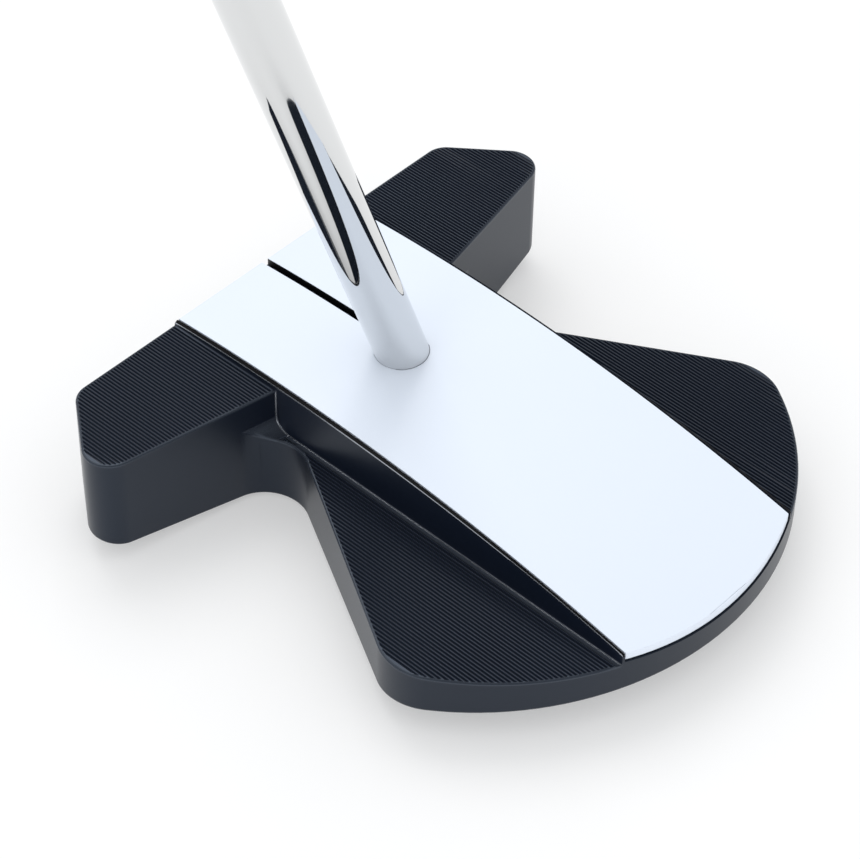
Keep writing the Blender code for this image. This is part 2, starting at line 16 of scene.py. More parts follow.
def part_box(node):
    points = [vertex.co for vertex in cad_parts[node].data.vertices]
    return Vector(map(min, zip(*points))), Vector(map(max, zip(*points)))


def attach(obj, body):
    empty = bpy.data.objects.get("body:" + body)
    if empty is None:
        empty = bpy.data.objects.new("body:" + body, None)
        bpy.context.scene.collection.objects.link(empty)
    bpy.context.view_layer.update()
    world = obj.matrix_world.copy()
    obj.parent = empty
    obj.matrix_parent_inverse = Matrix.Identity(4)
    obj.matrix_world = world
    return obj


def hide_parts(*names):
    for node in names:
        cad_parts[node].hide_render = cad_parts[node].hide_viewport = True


bl_info = {
    "name": "Mallet Putter",
    "version": (1, 0, 0),
    "blender": (4, 5, 0),
    "location": "View3D > Sidebar > Putter",
    "description": "Builds a milled mallet putter with its shaft, grip and sole weights",
    "category": "Add Mesh",
}

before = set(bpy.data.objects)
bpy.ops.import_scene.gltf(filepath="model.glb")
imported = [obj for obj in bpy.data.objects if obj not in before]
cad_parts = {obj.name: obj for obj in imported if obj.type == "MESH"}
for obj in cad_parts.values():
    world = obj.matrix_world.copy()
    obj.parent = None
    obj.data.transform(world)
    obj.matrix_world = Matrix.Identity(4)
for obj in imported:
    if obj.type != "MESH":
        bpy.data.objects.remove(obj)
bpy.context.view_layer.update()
FACE_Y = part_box("head_body")[0].y

MM = 0.001
MERGE = 0.001 * MM
FAR = 90.0 * MM
DEEP = 30.0 * MM
ARC_STEP = math.radians(2.5)
ROUND = 96
SCREW_STEPS = 48
HOLE_STEPS = 32
SPINE_STEPS = 64
SHARP = 30.0
AXES = (Vector((1.0, 0.0, 0.0)), Vector((0.0, 1.0, 0.0)))

# The head: its rim beside the plate, the small gaps that keep its cuts apart, and its milled margins.
RIM_WIDTH = 0.45 * MM
RIM_STEP = 0.12 * MM
ARRIS_DROP = 2.2
RUN_OUT = 3.0 * MM
ON_WALL = 0.01 * MM
BESIDE_WALL = 0.12 * MM
SOLE_BAND = 1.0 * MM
FLOOR_SINK = 0.03 * MM
WALL_GAP = 0.005 * MM
BORE_TOP = 80.0 * MM
LINE_MARGIN = 0.12 * MM
SOLE_SQUARE = 6.0 * MM
COVER_SQUARE = 5.0 * MM
PLATE_BORE_GAP = 0.03 * MM
PLATE_ROUND = 0.12 * MM
INSERT_ROUND = 0.25 * MM
COVER_ROUND = 0.3 * MM
SCREW_LAND = 0.2 * MM
WIDE_FACE = 100.0 * MM * MM

# What tells the head's faces apart when they are given their finishes.
BELOW_FAN = 1.0 * MM
BELOW_WING = 0.5 * MM
SPINE_EDGE = 1.5 * MM
RIM_REACH = 0.6 * MM
LEVEL = 0.99
STEEP = 0.1
FLANK_SPREAD = 0.03

# The grip's moulded pattern: its turns, its rise in one turn and where it fades out.
GRIP_STEPS = 380
GROOVE_TURNS = 10.0
GROOVE_RISE = 10.0 * MM
GROOVE_WIDTH = 0.32
GROOVE_START = 12.0 * MM
GROOVE_END = 10.0 * MM
GROOVE_FADE = 6.0 * MM
FLAT_CORNER = 9.0
FLAT_GROWTH = 2.5

# Steps inwards and upwards along a turned rim, as shares of the rim's softness.
WEIGHT_RIM = ((-2.6, 0.0), (-2.4, 0.5), (-1.9, 0.5), (-1.7, 0.0), (-1.0, 0.0), (-0.3, 0.3), (0.0, 1.0))
CAP_RIM = ((0.0, -1.5), (-0.3, -0.5), (-1.0, -0.1), (-3.0, 0.0), (-7.0, 0.0), (-8.0, -1.0), (-10.0, -1.0),
           (-11.0, 0.0))

# The studio: each light's name, place, target, width, height and power, and the camera.
LIGHTS = (
    ("high_softbox", (-0.6, -0.9, 1.6), (0.0, 0.02, 0.0), 1.2, 1.2, 9.0),
    ("side_softbox", (1.3, 0.2, 0.5), (0.0, 0.02, 0.02), 0.8, 0.5, 2.5),
)
SKY_COLOUR = (0.97, 0.985, 1.0, 1.0)
SKY_STRENGTH = 0.9
CEILING = {"From Min": 0.15, "From Max": 0.6, "To Min": SKY_STRENGTH, "To Max": 0.18}
FLOOR_SIZE = 30.0
FLOOR_DROP = 0.1 * MM
FLOOR_GLOW = 0.36
CAMERA_PLACE = (0.28418, 0.25463, 0.37991)
CAMERA_AZIMUTH = math.radians(132.24)
CAMERA_ELEVATION = math.radians(44.17)
CAMERA_ROLL = 0.012
CAMERA_LENS = 125.07
CAMERA_SENSOR = 36.0
CAMERA_SHIFT = (0.0272, -0.0103)
CAMERA_CLIP = (0.01, 100.0)


def length(name, description, millimetres):
    return FloatProperty(name=name, description=description, default=millimetres * MM, min=0.0,
                         unit="LENGTH", subtype="DISTANCE", precision=5)


def angle(name, description, degrees):
    return FloatProperty(name=name, description=description, default=math.radians(degrees),
                         unit="ROTATION", subtype="ANGLE")


def share(name, description, value):
    return FloatProperty(name=name, description=description, default=value, min=0.0, max=1.0,
                         subtype="FACTOR")


def colour(name, description, red, green, blue):
    return FloatVectorProperty(name=name, description=description, default=(red, green, blue),
                               min=0.0, max=1.0, size=3, subtype="COLOR")


def settings(context):
    scene = context.scene
    return scene.putter_head, scene.putter_fittings, scene.putter_shaft, scene.putter_colours


class PutterHeadSizes(PropertyGroup):
    """The head's outline, heights, roundings and milled lines."""

    face_half_length: length("Face half length", "From the middle of the face to its end", 46.5)
    wing_tip_x: length("Wing tip", "Half of the head's greatest length, before its corner is rounded", 60.15)
    wing_tip_depth: length("Wing tip depth", "How far the wing tip lies behind the face", 17.35)
    wing_rear_slope: share("Wing rear slope", "How much the wing's rear wall falls back inwards", 0.202)
    face_corner_radius: length("Face corner", "Radius of the corner at the end of the face", 4.65)
    wing_tip_radius: length("Wing tip corner", "Radius of the wing tip", 4.95)
    spine_half_width: length("Spine half width", "Half the width of the raised spine", 22.4)
    fan_ledge: length("Ledge", "Width of the fan's root beside the spine", 0.45)
    fan_root_depth: length("Fan root depth", "Where the straight side of the fan leaves the spine", 31.36)
    fan_side_angle: angle("Fan side angle", "Angle between the fan's side and straight back", 30.56)
    fan_centre_depth: length("Fan centre depth", "Where the centre of the rear arc lies", 53.5)
    fan_radius: length("Fan radius", "Radius of the rear arc", 55.0)
    fan_corner_radius: length("Fan corner", "Radius between the fan's side and the rear arc", 10.3)
    waist_radius: length("Waist radius", "Radius of the hollow between wing and fan", 7.6)
    wing_top: length("Wing top", "Height of the wings", 23.15)
    fan_top: length("Fan top", "Height of the fan at the fan level's depth", 13.55)
    fan_top_depth: length("Fan level depth", "Depth at which the fan's height is measured", 65.6)
    fan_top_fall: share("Fan fall", "Slope of the fan's top towards the rear", 0.02)
    spine_peak: length("Spine peak", "Greatest height of the spine", 24.75)
    spine_peak_depth: length("Spine peak depth", "Depth of the spine's highest point", 21.3)
    spine_radius: length("Spine radius", "Radius of the spine's arc along its length", 360.0)
    rim_drop: length("Rim drop", "How far the rim beside the plate falls to its outer edge", 0.5)
    rim_drop_depth: length("Rim drop depth", "Depth at which the rim falls the most", 27.0)
    rim_drop_reach: length("Rim drop reach", "Distance over which the rim's fall fades", 60.0)
    arris: length("Arris", "Width of the fine chamfer on the spine's edge", 0.09)
    face_loft: angle("Face loft", "How far the face leans back", 2.0)
    sole_radius_across: length("Sole radius across", "Crown of the sole from heel to toe", 445.0)
    sole_radius_along: length("Sole radius along", "Crown of the sole from face to rear", 339.0)
    sole_flat_drop: length("Sole flat", "Depth of the crown that is cut to a flat", 0.25)
    edge_round: length("Edge rounding", "Rounding of the upper edges", 0.4)
    sole_round: length("Sole edge rounding", "Rounding of the lower edges", 0.7)
    spine_foot: length("Spine foot", "Fillet at the foot of the spine's walls", 0.2)
    wing_foot: length("Wing foot", "Fillet between a wing's rear wall and the ledge", 3.0)
    line_pitch: length("Line pitch", "Distance between the milled lines", 0.665)
    line_crest: length("Line crest", "Width of the flat between two grooves", 0.12)
    line_depth: length("Line depth", "Depth of a milled groove", 0.21)


class PutterFittingSizes(PropertyGroup):
    """The plate, the face insert, the sole cover, its screws and the sole weights."""

    plate_half_width: length("Plate half width", "Half the width of the pale plate", 21.65)
    plate_thickness: length("Plate thickness", "Thickness of the pale plate", 1.5)
    sight_line_width: length("Sight line", "Width of the dark line in front of the shaft", 1.5)
    clearance: length("Clearance", "Gap between neighbouring pieces", 0.3)
    insert_length: length("Insert length", "Length of the face insert", 64.0)
    insert_height: length("Insert height", "Height of the face insert", 13.5)
    insert_thickness: length("Insert thickness", "Thickness of the face insert", 3.0)
    insert_middle: length("Insert middle", "Height of the insert's middle", 12.6)
    insert_corner: length("Insert corner", "Radius of the insert's corners", 5.0)
    insert_pad: length("Insert pad", "Thickness of the pad behind the insert", 1.0)
    insert_groove_pitch: length("Insert groove pitch", "Distance between the face grooves", 1.2)
    insert_groove_depth: length("Insert groove depth", "Depth of a face groove", 0.22)
    cover_half_width: length("Cover half width", "Half the width of the sole cover", 15.0)
    cover_length: length("Cover length", "Length of the sole cover", 38.0)
    cover_start: length("Cover start", "Where the sole cover begins behind the origin", 14.0)
    cover_thickness: length("Cover thickness", "Thickness of the sole cover", 2.0)
    cover_corner: length("Cover corner", "Radius of the sole cover's corners", 4.0)
    cavity_half_width: length("Cavity half width", "Half the width of the cavity above the cover", 8.7)
    cavity_margin: length("Cavity margin", "Seat left at the cover's ends", 3.6)
    cavity_top: length("Cavity top", "Height of the cavity's ceiling", 14.5)
    cover_screw_inset: length("Screw inset", "Distance of a screw from the cover's end", 4.2)
    screw_radius: length("Screw radius", "Radius of the screw's thread", 1.5)
    screw_head_radius: length("Screw head radius", "Radius of the countersunk head", 2.9)
    screw_length: length("Screw length", "Length of the screw", 8.5)
    screw_socket_radius: length("Screw socket", "Radius of the screw's hexagonal socket", 1.15)
    screw_socket_depth: length("Screw socket depth", "Depth of the screw's socket", 1.0)
    weight_head_radius: length("Weight head radius", "Radius of a weight's head", 7.0)
    weight_head_height: length("Weight head height", "Height of a weight's head", 2.4)
    weight_shank_radius: length("Weight shank radius", "Radius of a weight's threaded shank", 5.0)
    weight_shank_length: length("Weight shank length", "Length of a weight's shank", 5.0)
    weight_socket_radius: length("Weight socket", "Radius of a weight's hexagonal socket", 2.9)
    weight_socket_depth: length("Weight socket depth", "Depth of a weight's socket", 2.6)
    bushing_radius: length("Bushing radius", "Outer radius of a weight's bushing", 6.4)
    port_step: length("Port step", "Height of the step in a weight's port", 4.0)
    port_end: length("Port end", "Height of the end of a weight's port", 7.9)


class PutterShaftSizes(PropertyGroup):
    """The shaft and the grip, measured along the shaft from where its axis meets the ground."""

    shaft_offset: length("Shaft offset", "How far the shaft enters towards the heel", 0.9)
    shaft_depth: length("Shaft depth", "How far the shaft enters behind the face", 34.85)
    lie_lean: angle("Lean", "Lean of the shaft towards the player", 20.3)
    club_length: length("Club length", "Length from the ground to the end of the grip", 889.0)
    tip: length("Tip", "Where the shaft starts", 8.5)
    tip_radius: length("Tip radius", "Radius of the shaft at its tip", 4.7)
    neck: length("Neck", "Where the shaft begins to widen", 240.0)
    neck_radius: length("Neck radius", "Radius where the shaft begins to widen", 4.8)
    butt_run: length("Butt run", "Length of the parallel butt", 249.0)
    butt_radius: length("Butt radius", "Radius of the parallel butt", 7.6)
    wall: length("Wall", "Thickness of the tube's wall", 0.5)
    butt_clearance: length("Butt clearance", "How far the shaft ends inside the grip", 5.0)
    grip_length: length("Grip length", "Length of the grip", 266.0)
    grip_mouth_radius: length("Grip mouth radius", "Radius of the grip's lower end", 10.6)
    grip_hand_radius: length("Grip hand radius", "Radius of the grip's upper end", 15.0)
    grip_flat: share("Grip flat", "Distance of the flat front as a share of the radius", 0.8)
    grip_texture_depth: length("Grip texture", "Depth of the moulded grooves", 0.5)
    cap_radius: length("Cap radius", "Radius of the end cap", 9.5)
    cap_thickness: length("Cap thickness", "Thickness of the end cap", 2.2)
    vent_radius: length("Vent radius", "Radius of the hole in the end cap", 1.2)


class PutterColours(PropertyGroup):
    """The finishes' colours."""

    head: colour("Head", "Dark anodised head", 0.0045, 0.0072, 0.0150)
    plate: colour("Plate", "Pale painted plate", 0.80, 0.865, 0.97)
    # The crest colour is a painted highlight: lighter than the head, it paints the glint of light along the
    # milled crests and flat tops.
    crest: colour("Crests", "Worn crests between the milled grooves", 0.034, 0.043, 0.062)
    # The edge colour is a painted highlight: lighter and glossier than the head, it paints the glint on the
    # rounded edges of the wings and the fan.
    edge_highlight: colour("Worn edges", "Rounded edges of the wings and the fan", 0.024, 0.029, 0.040)
    # The arris colour is bare metal along the spine's edge and also a painted highlight: it paints the bright
    # glint there and, at the foot of the spine's walls, a bright line in the concave corner.
    arris: colour("Arris", "Bare metal along the spine's edge", 0.36, 0.38, 0.42)
    # The sight line paint also covers the rim beside the plate, as painted shade.
    sight_line: colour("Sight line", "Paint in the sight line", 0.004, 0.004, 0.005)
    chrome: colour("Chrome", "Plated shaft", 0.72, 0.725, 0.725)
    steel: colour("Steel", "Insert, screws and weights", 0.52, 0.52, 0.54)
    bushing: colour("Bushing", "Threaded bushings", 0.60, 0.58, 0.55)
    ring: colour("Ring", "Friction rings and the pad", 0.02, 0.02, 0.021)
    grip: colour("Grip", "Moulded rubber", 0.018, 0.018, 0.020)
    cap: colour("Cap", "End cap", 0.035, 0.035, 0.040)
    tape: colour("Tape", "Grip tape", 0.72, 0.68, 0.58)
    plug: colour("Plug", "Plug in the shaft's tip", 0.35, 0.22, 0.12)
    floor: colour("Floor", "Studio floor", 0.62, 0.62, 0.62)


# ---------------------------------------------------------------- finishes

def link(tree, source, socket, target, name):
    tree.links.new(source.outputs[socket], target.inputs[name])


def ranged(tree, source, low, high):
    """The source's value, from 0 to 1, spread between low and high."""
    node = tree.nodes.new("ShaderNodeMapRange")
    node.inputs["To Min"].default_value = low
    node.inputs["To Max"].default_value = high
    link(tree, source, 0, node, "Value")
    return node


def grain(tree, scale, stretch=(1.0, 1.0, 1.0), detail=4.0):
    """Noise in the piece's own coordinates; a stretch below 1 draws it out along that axis."""
    place = tree.nodes.new("ShaderNodeTexCoord")
    mapping = tree.nodes.new("ShaderNodeMapping")
    mapping.inputs["Scale"].default_value = stretch
    noise = tree.nodes.new("ShaderNodeTexNoise")
    noise.inputs["Scale"].default_value = scale
    noise.inputs["Detail"].default_value = detail
    link(tree, place, "Object", mapping, "Vector")
    link(tree, mapping, "Vector", noise, "Vector")
    return noise


def finish(name, tint, roughness, metallic, mottle=0.08, mottle_scale=60.0, grain_scale=6000.0,
           stretch=(1.0, 1.0, 1.0), roughness_spread=0.06, bump=0.15, bump_height=0.02, specular=0.5,
           gloss_tint=(1.0, 1.0, 1.0)):
    """A Principled finish: mottled colour, uneven roughness and a fine grain in relief."""
    made = bpy.data.materials.new(name)
    made.use_nodes = True
    tree = made.node_tree
    shader = tree.nodes["Principled BSDF"]
    shader.inputs["Metallic"].default_value = metallic
    shader.inputs["Specular IOR Level"].default_value = specular
    shader.inputs["Specular Tint"].default_value = (*gloss_tint, 1.0)

    broad = grain(tree, mottle_scale)
    mix = tree.nodes.new("ShaderNodeMix")
    mix.data_type = "RGBA"
    tint = Vector(tint)
    mix.inputs["A"].default_value = (*(tint * (1.0 - mottle)), 1.0)
    mix.inputs["B"].default_value = (*(tint * (1.0 + mottle)), 1.0)
    link(tree, broad, "Fac", mix, "Factor")
    tree.links.new(mix.outputs["Result"], shader.inputs["Base Color"])

    fine = grain(tree, grain_scale, stretch)
    rough = ranged(tree, fine, roughness - roughness_spread, roughness + roughness_spread)
    link(tree, rough, "Result", shader, "Roughness")
    relief = tree.nodes.new("ShaderNodeBump")
    relief.inputs["Strength"].default_value = bump
    relief.inputs["Distance"].default_value = bump_height * MM
    link(tree, fine, "Fac", relief, "Height")
    link(tree, relief, "Normal", shader, "Normal")
    return made


def anodised(name, tint, roughness, specular=0.5):
    return finish(name, tint, roughness, 0.0, mottle=0.15, mottle_scale=45.0, grain_scale=9000.0,
                  roughness_spread=0.05, bump=0.12, bump_height=0.015, specular=specular,
                  gloss_tint=(0.72, 0.84, 1.0))


def painted(name, tint, roughness, specular=0.5):
    return finish(name, tint, roughness, 0.0, mottle=0.012, mottle_scale=30.0, grain_scale=2500.0,
                  roughness_spread=0.03, bump=0.06, bump_height=0.01, specular=specular)


def plated(name, tint):
    return finish(name, tint, 0.035, 1.0, mottle=0.01, mottle_scale=25.0, grain_scale=900.0,
                  roughness_spread=0.015, bump=0.01, bump_height=0.002)


def brushed(name, tint, roughness, stretch):
    return finish(name, tint, roughness, 1.0, mottle=0.08, mottle_scale=200.0, grain_scale=12000.0,
                  stretch=stretch, roughness_spread=0.09, bump=0.2, bump_height=0.01)


def rubber(name, tint, roughness):
    return finish(name, tint, roughness, 0.0, mottle=0.2, mottle_scale=90.0, grain_scale=5000.0,
                  roughness_spread=0.08, bump=0.35, bump_height=0.05)


# ---------------------------------------------------------------- mesh tools

def solid_object(name, bm):
    bmesh.ops.remove_doubles(bm, verts=bm.verts, dist=MERGE)
    bmesh.ops.recalc_face_normals(bm, faces=bm.faces)
    mesh = bpy.data.meshes.new(name)
    bm.to_mesh(mesh)
    bm.free()
    made = bpy.data.objects.new(name, mesh)
    bpy.context.scene.collection.objects.link(made)
    return made


def carve(blank, tool, operation="DIFFERENCE"):
    """The blank cut by, joined to or kept inside the tool; both meshes are used up."""
    target = solid_object("blank", blank)
    cutter = solid_object("tool", tool)
    step = target.modifiers.new("carve", "BOOLEAN")
    step.object = cutter
    step.operation = operation
    step.solver = "EXACT"
    result = bmesh.new()
    result.from_object(target, bpy.context.evaluated_depsgraph_get())
    for spent in (target, cutter):
        mesh = spent.data
        bpy.data.objects.remove(spent)
        bpy.data.meshes.remove(mesh)
    if not result.faces:
        raise RuntimeError("a cut left nothing")
    return result


def together(*parts):
    """Several meshes that don't touch, as one."""
    whole = bmesh.new()
    for part in parts:
        mesh = bpy.data.meshes.new("part")
        part.to_mesh(mesh)
        part.free()
        whole.from_mesh(mesh)
        bpy.data.meshes.remove(mesh)
    return whole


def place_piece(name, bm, finishes, body, nodes, sharp=SHARP, assign=None):
    """Turns a closed mesh into a piece with its finishes, which stands for its nodes on a body."""
    if any(not edge.is_manifold for edge in bm.edges):
        raise RuntimeError(name + " isn't one closed surface")
    bmesh.ops.recalc_face_normals(bm, faces=bm.faces)
    bm.normal_update()
    if assign is not None:
        for face in bm.faces:
            face.material_index = assign(face)
    mesh = bpy.data.meshes.new(name)
    bm.to_mesh(mesh)
    bm.free()
    for made in finishes:
        mesh.materials.append(made)
    mesh.shade_smooth()
    mesh.set_sharp_from_angle(angle=math.radians(sharp))
    piece = bpy.data.objects.new(name, mesh)
    bpy.context.scene.collection.objects.link(piece)
    even = piece.modifiers.new("even_shading", "WEIGHTED_NORMAL")
    even.keep_sharp = True
    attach(piece, body)
    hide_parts(*nodes)


def refinish(node, made):
    """Gives a node that keeps its shape a finish of its own."""
    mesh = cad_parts[node].data
    mesh.materials.clear()
    mesh.materials.append(made)
    mesh.shade_smooth()
    mesh.set_sharp_from_angle(angle=math.radians(SHARP))


def round_edges(bm, chosen, width, segments):
    edges = [edge for edge in bm.edges if len(edge.link_faces) == 2 and chosen(edge)]
    bmesh.ops.bevel(bm, geom=edges, offset=width, offset_type="OFFSET", affect="EDGES", segments=segments,
                    profile=0.5, material=-1, clamp_overlap=False, loop_slide=True)


def rim_edge(upward, flat=0.5, wall=0.3, clear_of=None):
    """Picks convex edges between a wall and a face that looks up, or down if upward is -1.

    Edges that run along the planes at clear_of from the middle are left alone.
    """
    def chosen(edge):
        first, second = (face.normal.z * upward for face in edge.link_faces)
        if clear_of is not None and all(abs(abs(vert.co.x) - clear_of) < BESIDE_WALL for vert in edge.verts):
            return False
        return edge.is_convex and max(first, second) > flat and abs(min(first, second)) < wall
    return chosen


def foot_edge(size):
    """Picks the concave edges where the wings and the fan meet the spine's walls."""
    def chosen(edge):
        on_wall = all(abs(abs(vert.co.x) - size.spine_half_width) < ON_WALL for vert in edge.verts)
        return on_wall and not edge.is_convex and edge.calc_face_angle(0.0) > 0.3
    return chosen


def arc(centre, radius, start, end):
    count = max(2, math.ceil(abs(end - start) / ARC_STEP))
    angles = [start + (end - start) * i / count for i in range(count + 1)]
    return [centre + radius * Vector((math.cos(a), math.sin(a))) for a in angles]


def fillet(before, corner, after, radius):
    """The arc that rounds one corner of an outline, on whichever side the corner turns."""
    to_before = (before - corner).normalized()
    to_after = (after - corner).normalized()
    half = to_before.angle(to_after) / 2.0
    centre = corner + (to_before + to_after).normalized() * radius / math.sin(half)
    foot_before = corner + to_before * radius / math.tan(half)
    foot_after = corner + to_after * radius / math.tan(half)
    start = math.atan2(*(foot_before - centre).yx)
    end = math.atan2(*(foot_after - centre).yx)
    turn = (end - start + math.pi) % math.tau - math.pi
    return arc(centre, radius, start, start + turn)


def crossing(p, p_direction, q, q_direction):
    along = (q - p).cross(q_direction) / p_direction.cross(q_direction)
    return p + p_direction * along


def rounded_rectangle(half_width, half_height, radius):
    corners = [Vector((sx * half_width, sy * half_height)) for sx, sy in ((1, -1), (1, 1), (-1, 1), (-1, -1))]
    points = []
    for i, corner in enumerate(corners):
        points += fillet(corners[i - 1], corner, corners[(i + 1) % 4], radius)
    return points


def verts_in(geom):
    return [item for item in geom if isinstance(item, bmesh.types.BMVert)]


def with_borders(faces):
    """Faces with their edges and corners, as the cutting operators want them, always in the same order."""
    edges = dict.fromkeys(edge for face in faces for edge in face.edges)
    verts = dict.fromkeys(vert for face in faces for vert in face.verts)
    return [*faces, *edges, *verts]


def prism(outline, low, high):
    """An outline extruded from one height to another."""
    bm = bmesh.new()
    base = bm.faces.new([bm.verts.new((p.x, p.y, low)) for p in outline])
    lifted = bmesh.ops.extrude_face_region(bm, geom=[base])["geom"]
    bmesh.ops.translate(bm, vec=(0.0, 0.0, high - low), verts=verts_in(lifted))
    bmesh.ops.recalc_face_normals(bm, faces=bm.faces)
    return bm


def turned(profile, ring=False, steps=ROUND):
    """A profile of radius and height turned about Z; a ring's profile is closed and clear of the axis."""
    bm = bmesh.new()
    verts = [bm.verts.new((radius, 0.0, height)) for radius, height in profile]
    edges = [bm.edges.new(pair) for pair in zip(verts, verts[1:])]
    if ring:
        edges.append(bm.edges.new((verts[-1], verts[0])))
    bmesh.ops.spin(bm, geom=verts + edges, cent=(0, 0, 0), axis=(0, 0, 1),
                   angle=math.tau, steps=steps, use_merge=True)
    bmesh.ops.remove_doubles(bm, verts=bm.verts, dist=MERGE)
    bmesh.ops.recalc_face_normals(bm, faces=bm.faces)
    return bm


def drawn(section, stations):
    """A closed section carried along Y; it is a function of y that gives points of x and z."""
    bm = bmesh.new()
    verts = [bm.verts.new((x, stations[0], z)) for x, z in section(stations[0])]
    bm.faces.new(verts)
    edges = [bm.edges.get(pair) for pair in zip(verts, verts[1:] + verts[:1])]
    for y in stations[1:]:
        moved = bmesh.ops.extrude_edge_only(bm, edges=edges)["geom"]
        edges = [g for g in moved if isinstance(g, bmesh.types.BMEdge)]
        fresh = verts_in(moved)
        verts = [min(fresh, key=lambda vert: (vert.co - old.co).length_squared) for old in verts]
        for vert, (x, z) in zip(verts, section(y)):
            vert.co = Vector((x, y, z))
    bm.faces.new(verts)
    bmesh.ops.recalc_face_normals(bm, faces=bm.faces)
    return bm


def mill_lines(bm, faces, axis, start, stop, pitch, crest, depth, margin):
    """Cuts grooves across flat faces; start and stop are places along axis, 0 for X or 1 for Y."""
    inset = bmesh.ops.inset_region(bm, faces=faces, thickness=margin, depth=0.0, use_even_offset=True)
    geom = with_borders(list(dict.fromkeys([*faces, *inset["faces"]])))
    normal = AXES[axis]
    direction = 1.0 if stop > start else -1.0
    bottoms = []
    for i in range(math.floor(abs(stop - start) / pitch)):
        first = start + direction * i * pitch
        offsets = (crest, (crest + pitch) / 2.0, pitch)
        for offset in offsets:
            place = first + direction * offset
            cut = bmesh.ops.bisect_plane(bm, geom=geom, dist=MERGE, plane_co=normal * place, plane_no=normal)
            geom = cut["geom"]
        bottoms.append(first + direction * offsets[1])
    tops = {g for g in geom if isinstance(g, bmesh.types.BMFace)}
    for vert in verts_in(geom):
        step = (vert.co[axis] - bottoms[0]) / (direction * pitch)
        on_bottom = abs(step - round(step)) < 0.01 and -0.5 < step < len(bottoms) - 0.5
        if on_bottom and all(face in tops for face in vert.link_faces):
            vert.co.z -= depth


# ---------------------------------------------------------------- head

def wing_rear_y(size, x):
    return size.wing_tip_depth + FACE_Y + size.wing_rear_slope * (size.wing_tip_x - abs(x))


def half_outline(size):
    """The heel half of the head from above, from the middle of the face to the middle of the rear."""
    face = FACE_Y
    face_middle = Vector((0.0, face))
    face_corner = Vector((size.face_half_length, face))
    wing_tip = Vector((size.wing_tip_x, size.wing_tip_depth + face))
    wing_rear = Vector((-1.0, size.wing_rear_slope)).normalized()
    side = Vector((math.sin(size.fan_side_angle), math.cos(size.fan_side_angle)))
    fan_root = Vector((size.spine_half_width + size.fan_ledge, size.fan_root_depth + face))
    waist = crossing(wing_tip, wing_rear, fan_root, side)

    # The fan's corner is tangent to the straight side and, from inside, to the round rear.
    centre = Vector((0.0, size.fan_centre_depth + face))
    inward = Vector((-side.y, side.x))
    offset = fan_root + inward * size.fan_corner_radius - centre
    reach = size.fan_radius - size.fan_corner_radius
    middle = offset.dot(side)
    along = -middle + math.sqrt(middle ** 2 - offset.length_squared + reach ** 2)
    corner_centre = centre + offset + side * along
    rear_angle = math.atan2(*(corner_centre - centre).yx)
    side_angle = math.atan2(*(-inward).yx)

    points = [face_middle]
    points += fillet(face_middle, face_corner, wing_tip, size.face_corner_radius)
    points += fillet(face_corner, wing_tip, waist, size.wing_tip_radius)
    points += fillet(wing_tip, waist, waist + side, size.waist_radius)
    points += arc(corner_centre, size.fan_corner_radius, side_angle, rear_angle)
    points += arc(centre, size.fan_radius, rear_angle, math.pi / 2.0)[1:]
    return points


def head_outline(size):
    heel = half_outline(size)
    return heel + [Vector((-p.x, p.y)) for p in reversed(heel[1:-1])]


def spine_top(size, y):
    """Height of the spine's long shallow arc."""
    behind = y - FACE_Y - size.spine_peak_depth
    return size.spine_peak - size.spine_radius + math.sqrt(size.spine_radius ** 2 - behind ** 2)


def fan_height(size, y):
    return size.fan_top - size.fan_top_fall * (y - FACE_Y - size.fan_top_depth)


def sole_height(size, x, y):
    """The crowned sole, with a flat in its middle."""
    crown = x ** 2 / (2.0 * size.sole_radius_across) + y ** 2 / (2.0 * size.sole_radius_along)
    return max(0.0, crown - size.sole_flat_drop)


def stations(size):
    """Places along Y where the long shallow arc is cut, from just before the face to just past the rear."""
    start = FACE_Y - RUN_OUT
    end = FACE_Y + size.fan_centre_depth + size.fan_radius + RUN_OUT
    return [start + (end - start) * i / SPINE_STEPS for i in range(SPINE_STEPS + 1)]


def foot_arc(edge, level, radius):
    """From the top of a foot's fillet, against a wall, out to the level floor."""
    centre = Vector((edge + radius, level + radius))
    return [(p.x, p.y) for p in arc(centre, radius, math.pi, 1.5 * math.pi)]


def symmetric(half):
    """A section from its heel half, which runs from its lowest to its highest point."""
    return half + [(-x, z) for x, z in reversed(half)]


def spine_section(size):
    """The spine's section: a wall, a fine bright arris, and the rim that climbs to the plate."""
    outer = size.spine_half_width

    def section(y):
        top = spine_top(size, y)
        away = (y - FACE_Y - size.rim_drop_depth) / size.rim_drop_reach
        edge = top - RIM_STEP - size.rim_drop * max(0.0, 1.0 - away ** 2)
        return symmetric([(outer, -DEEP / 3.0), (outer, edge - ARRIS_DROP * size.arris),
                          (outer - size.arris, edge), (outer - RIM_WIDTH, top)])
    return section


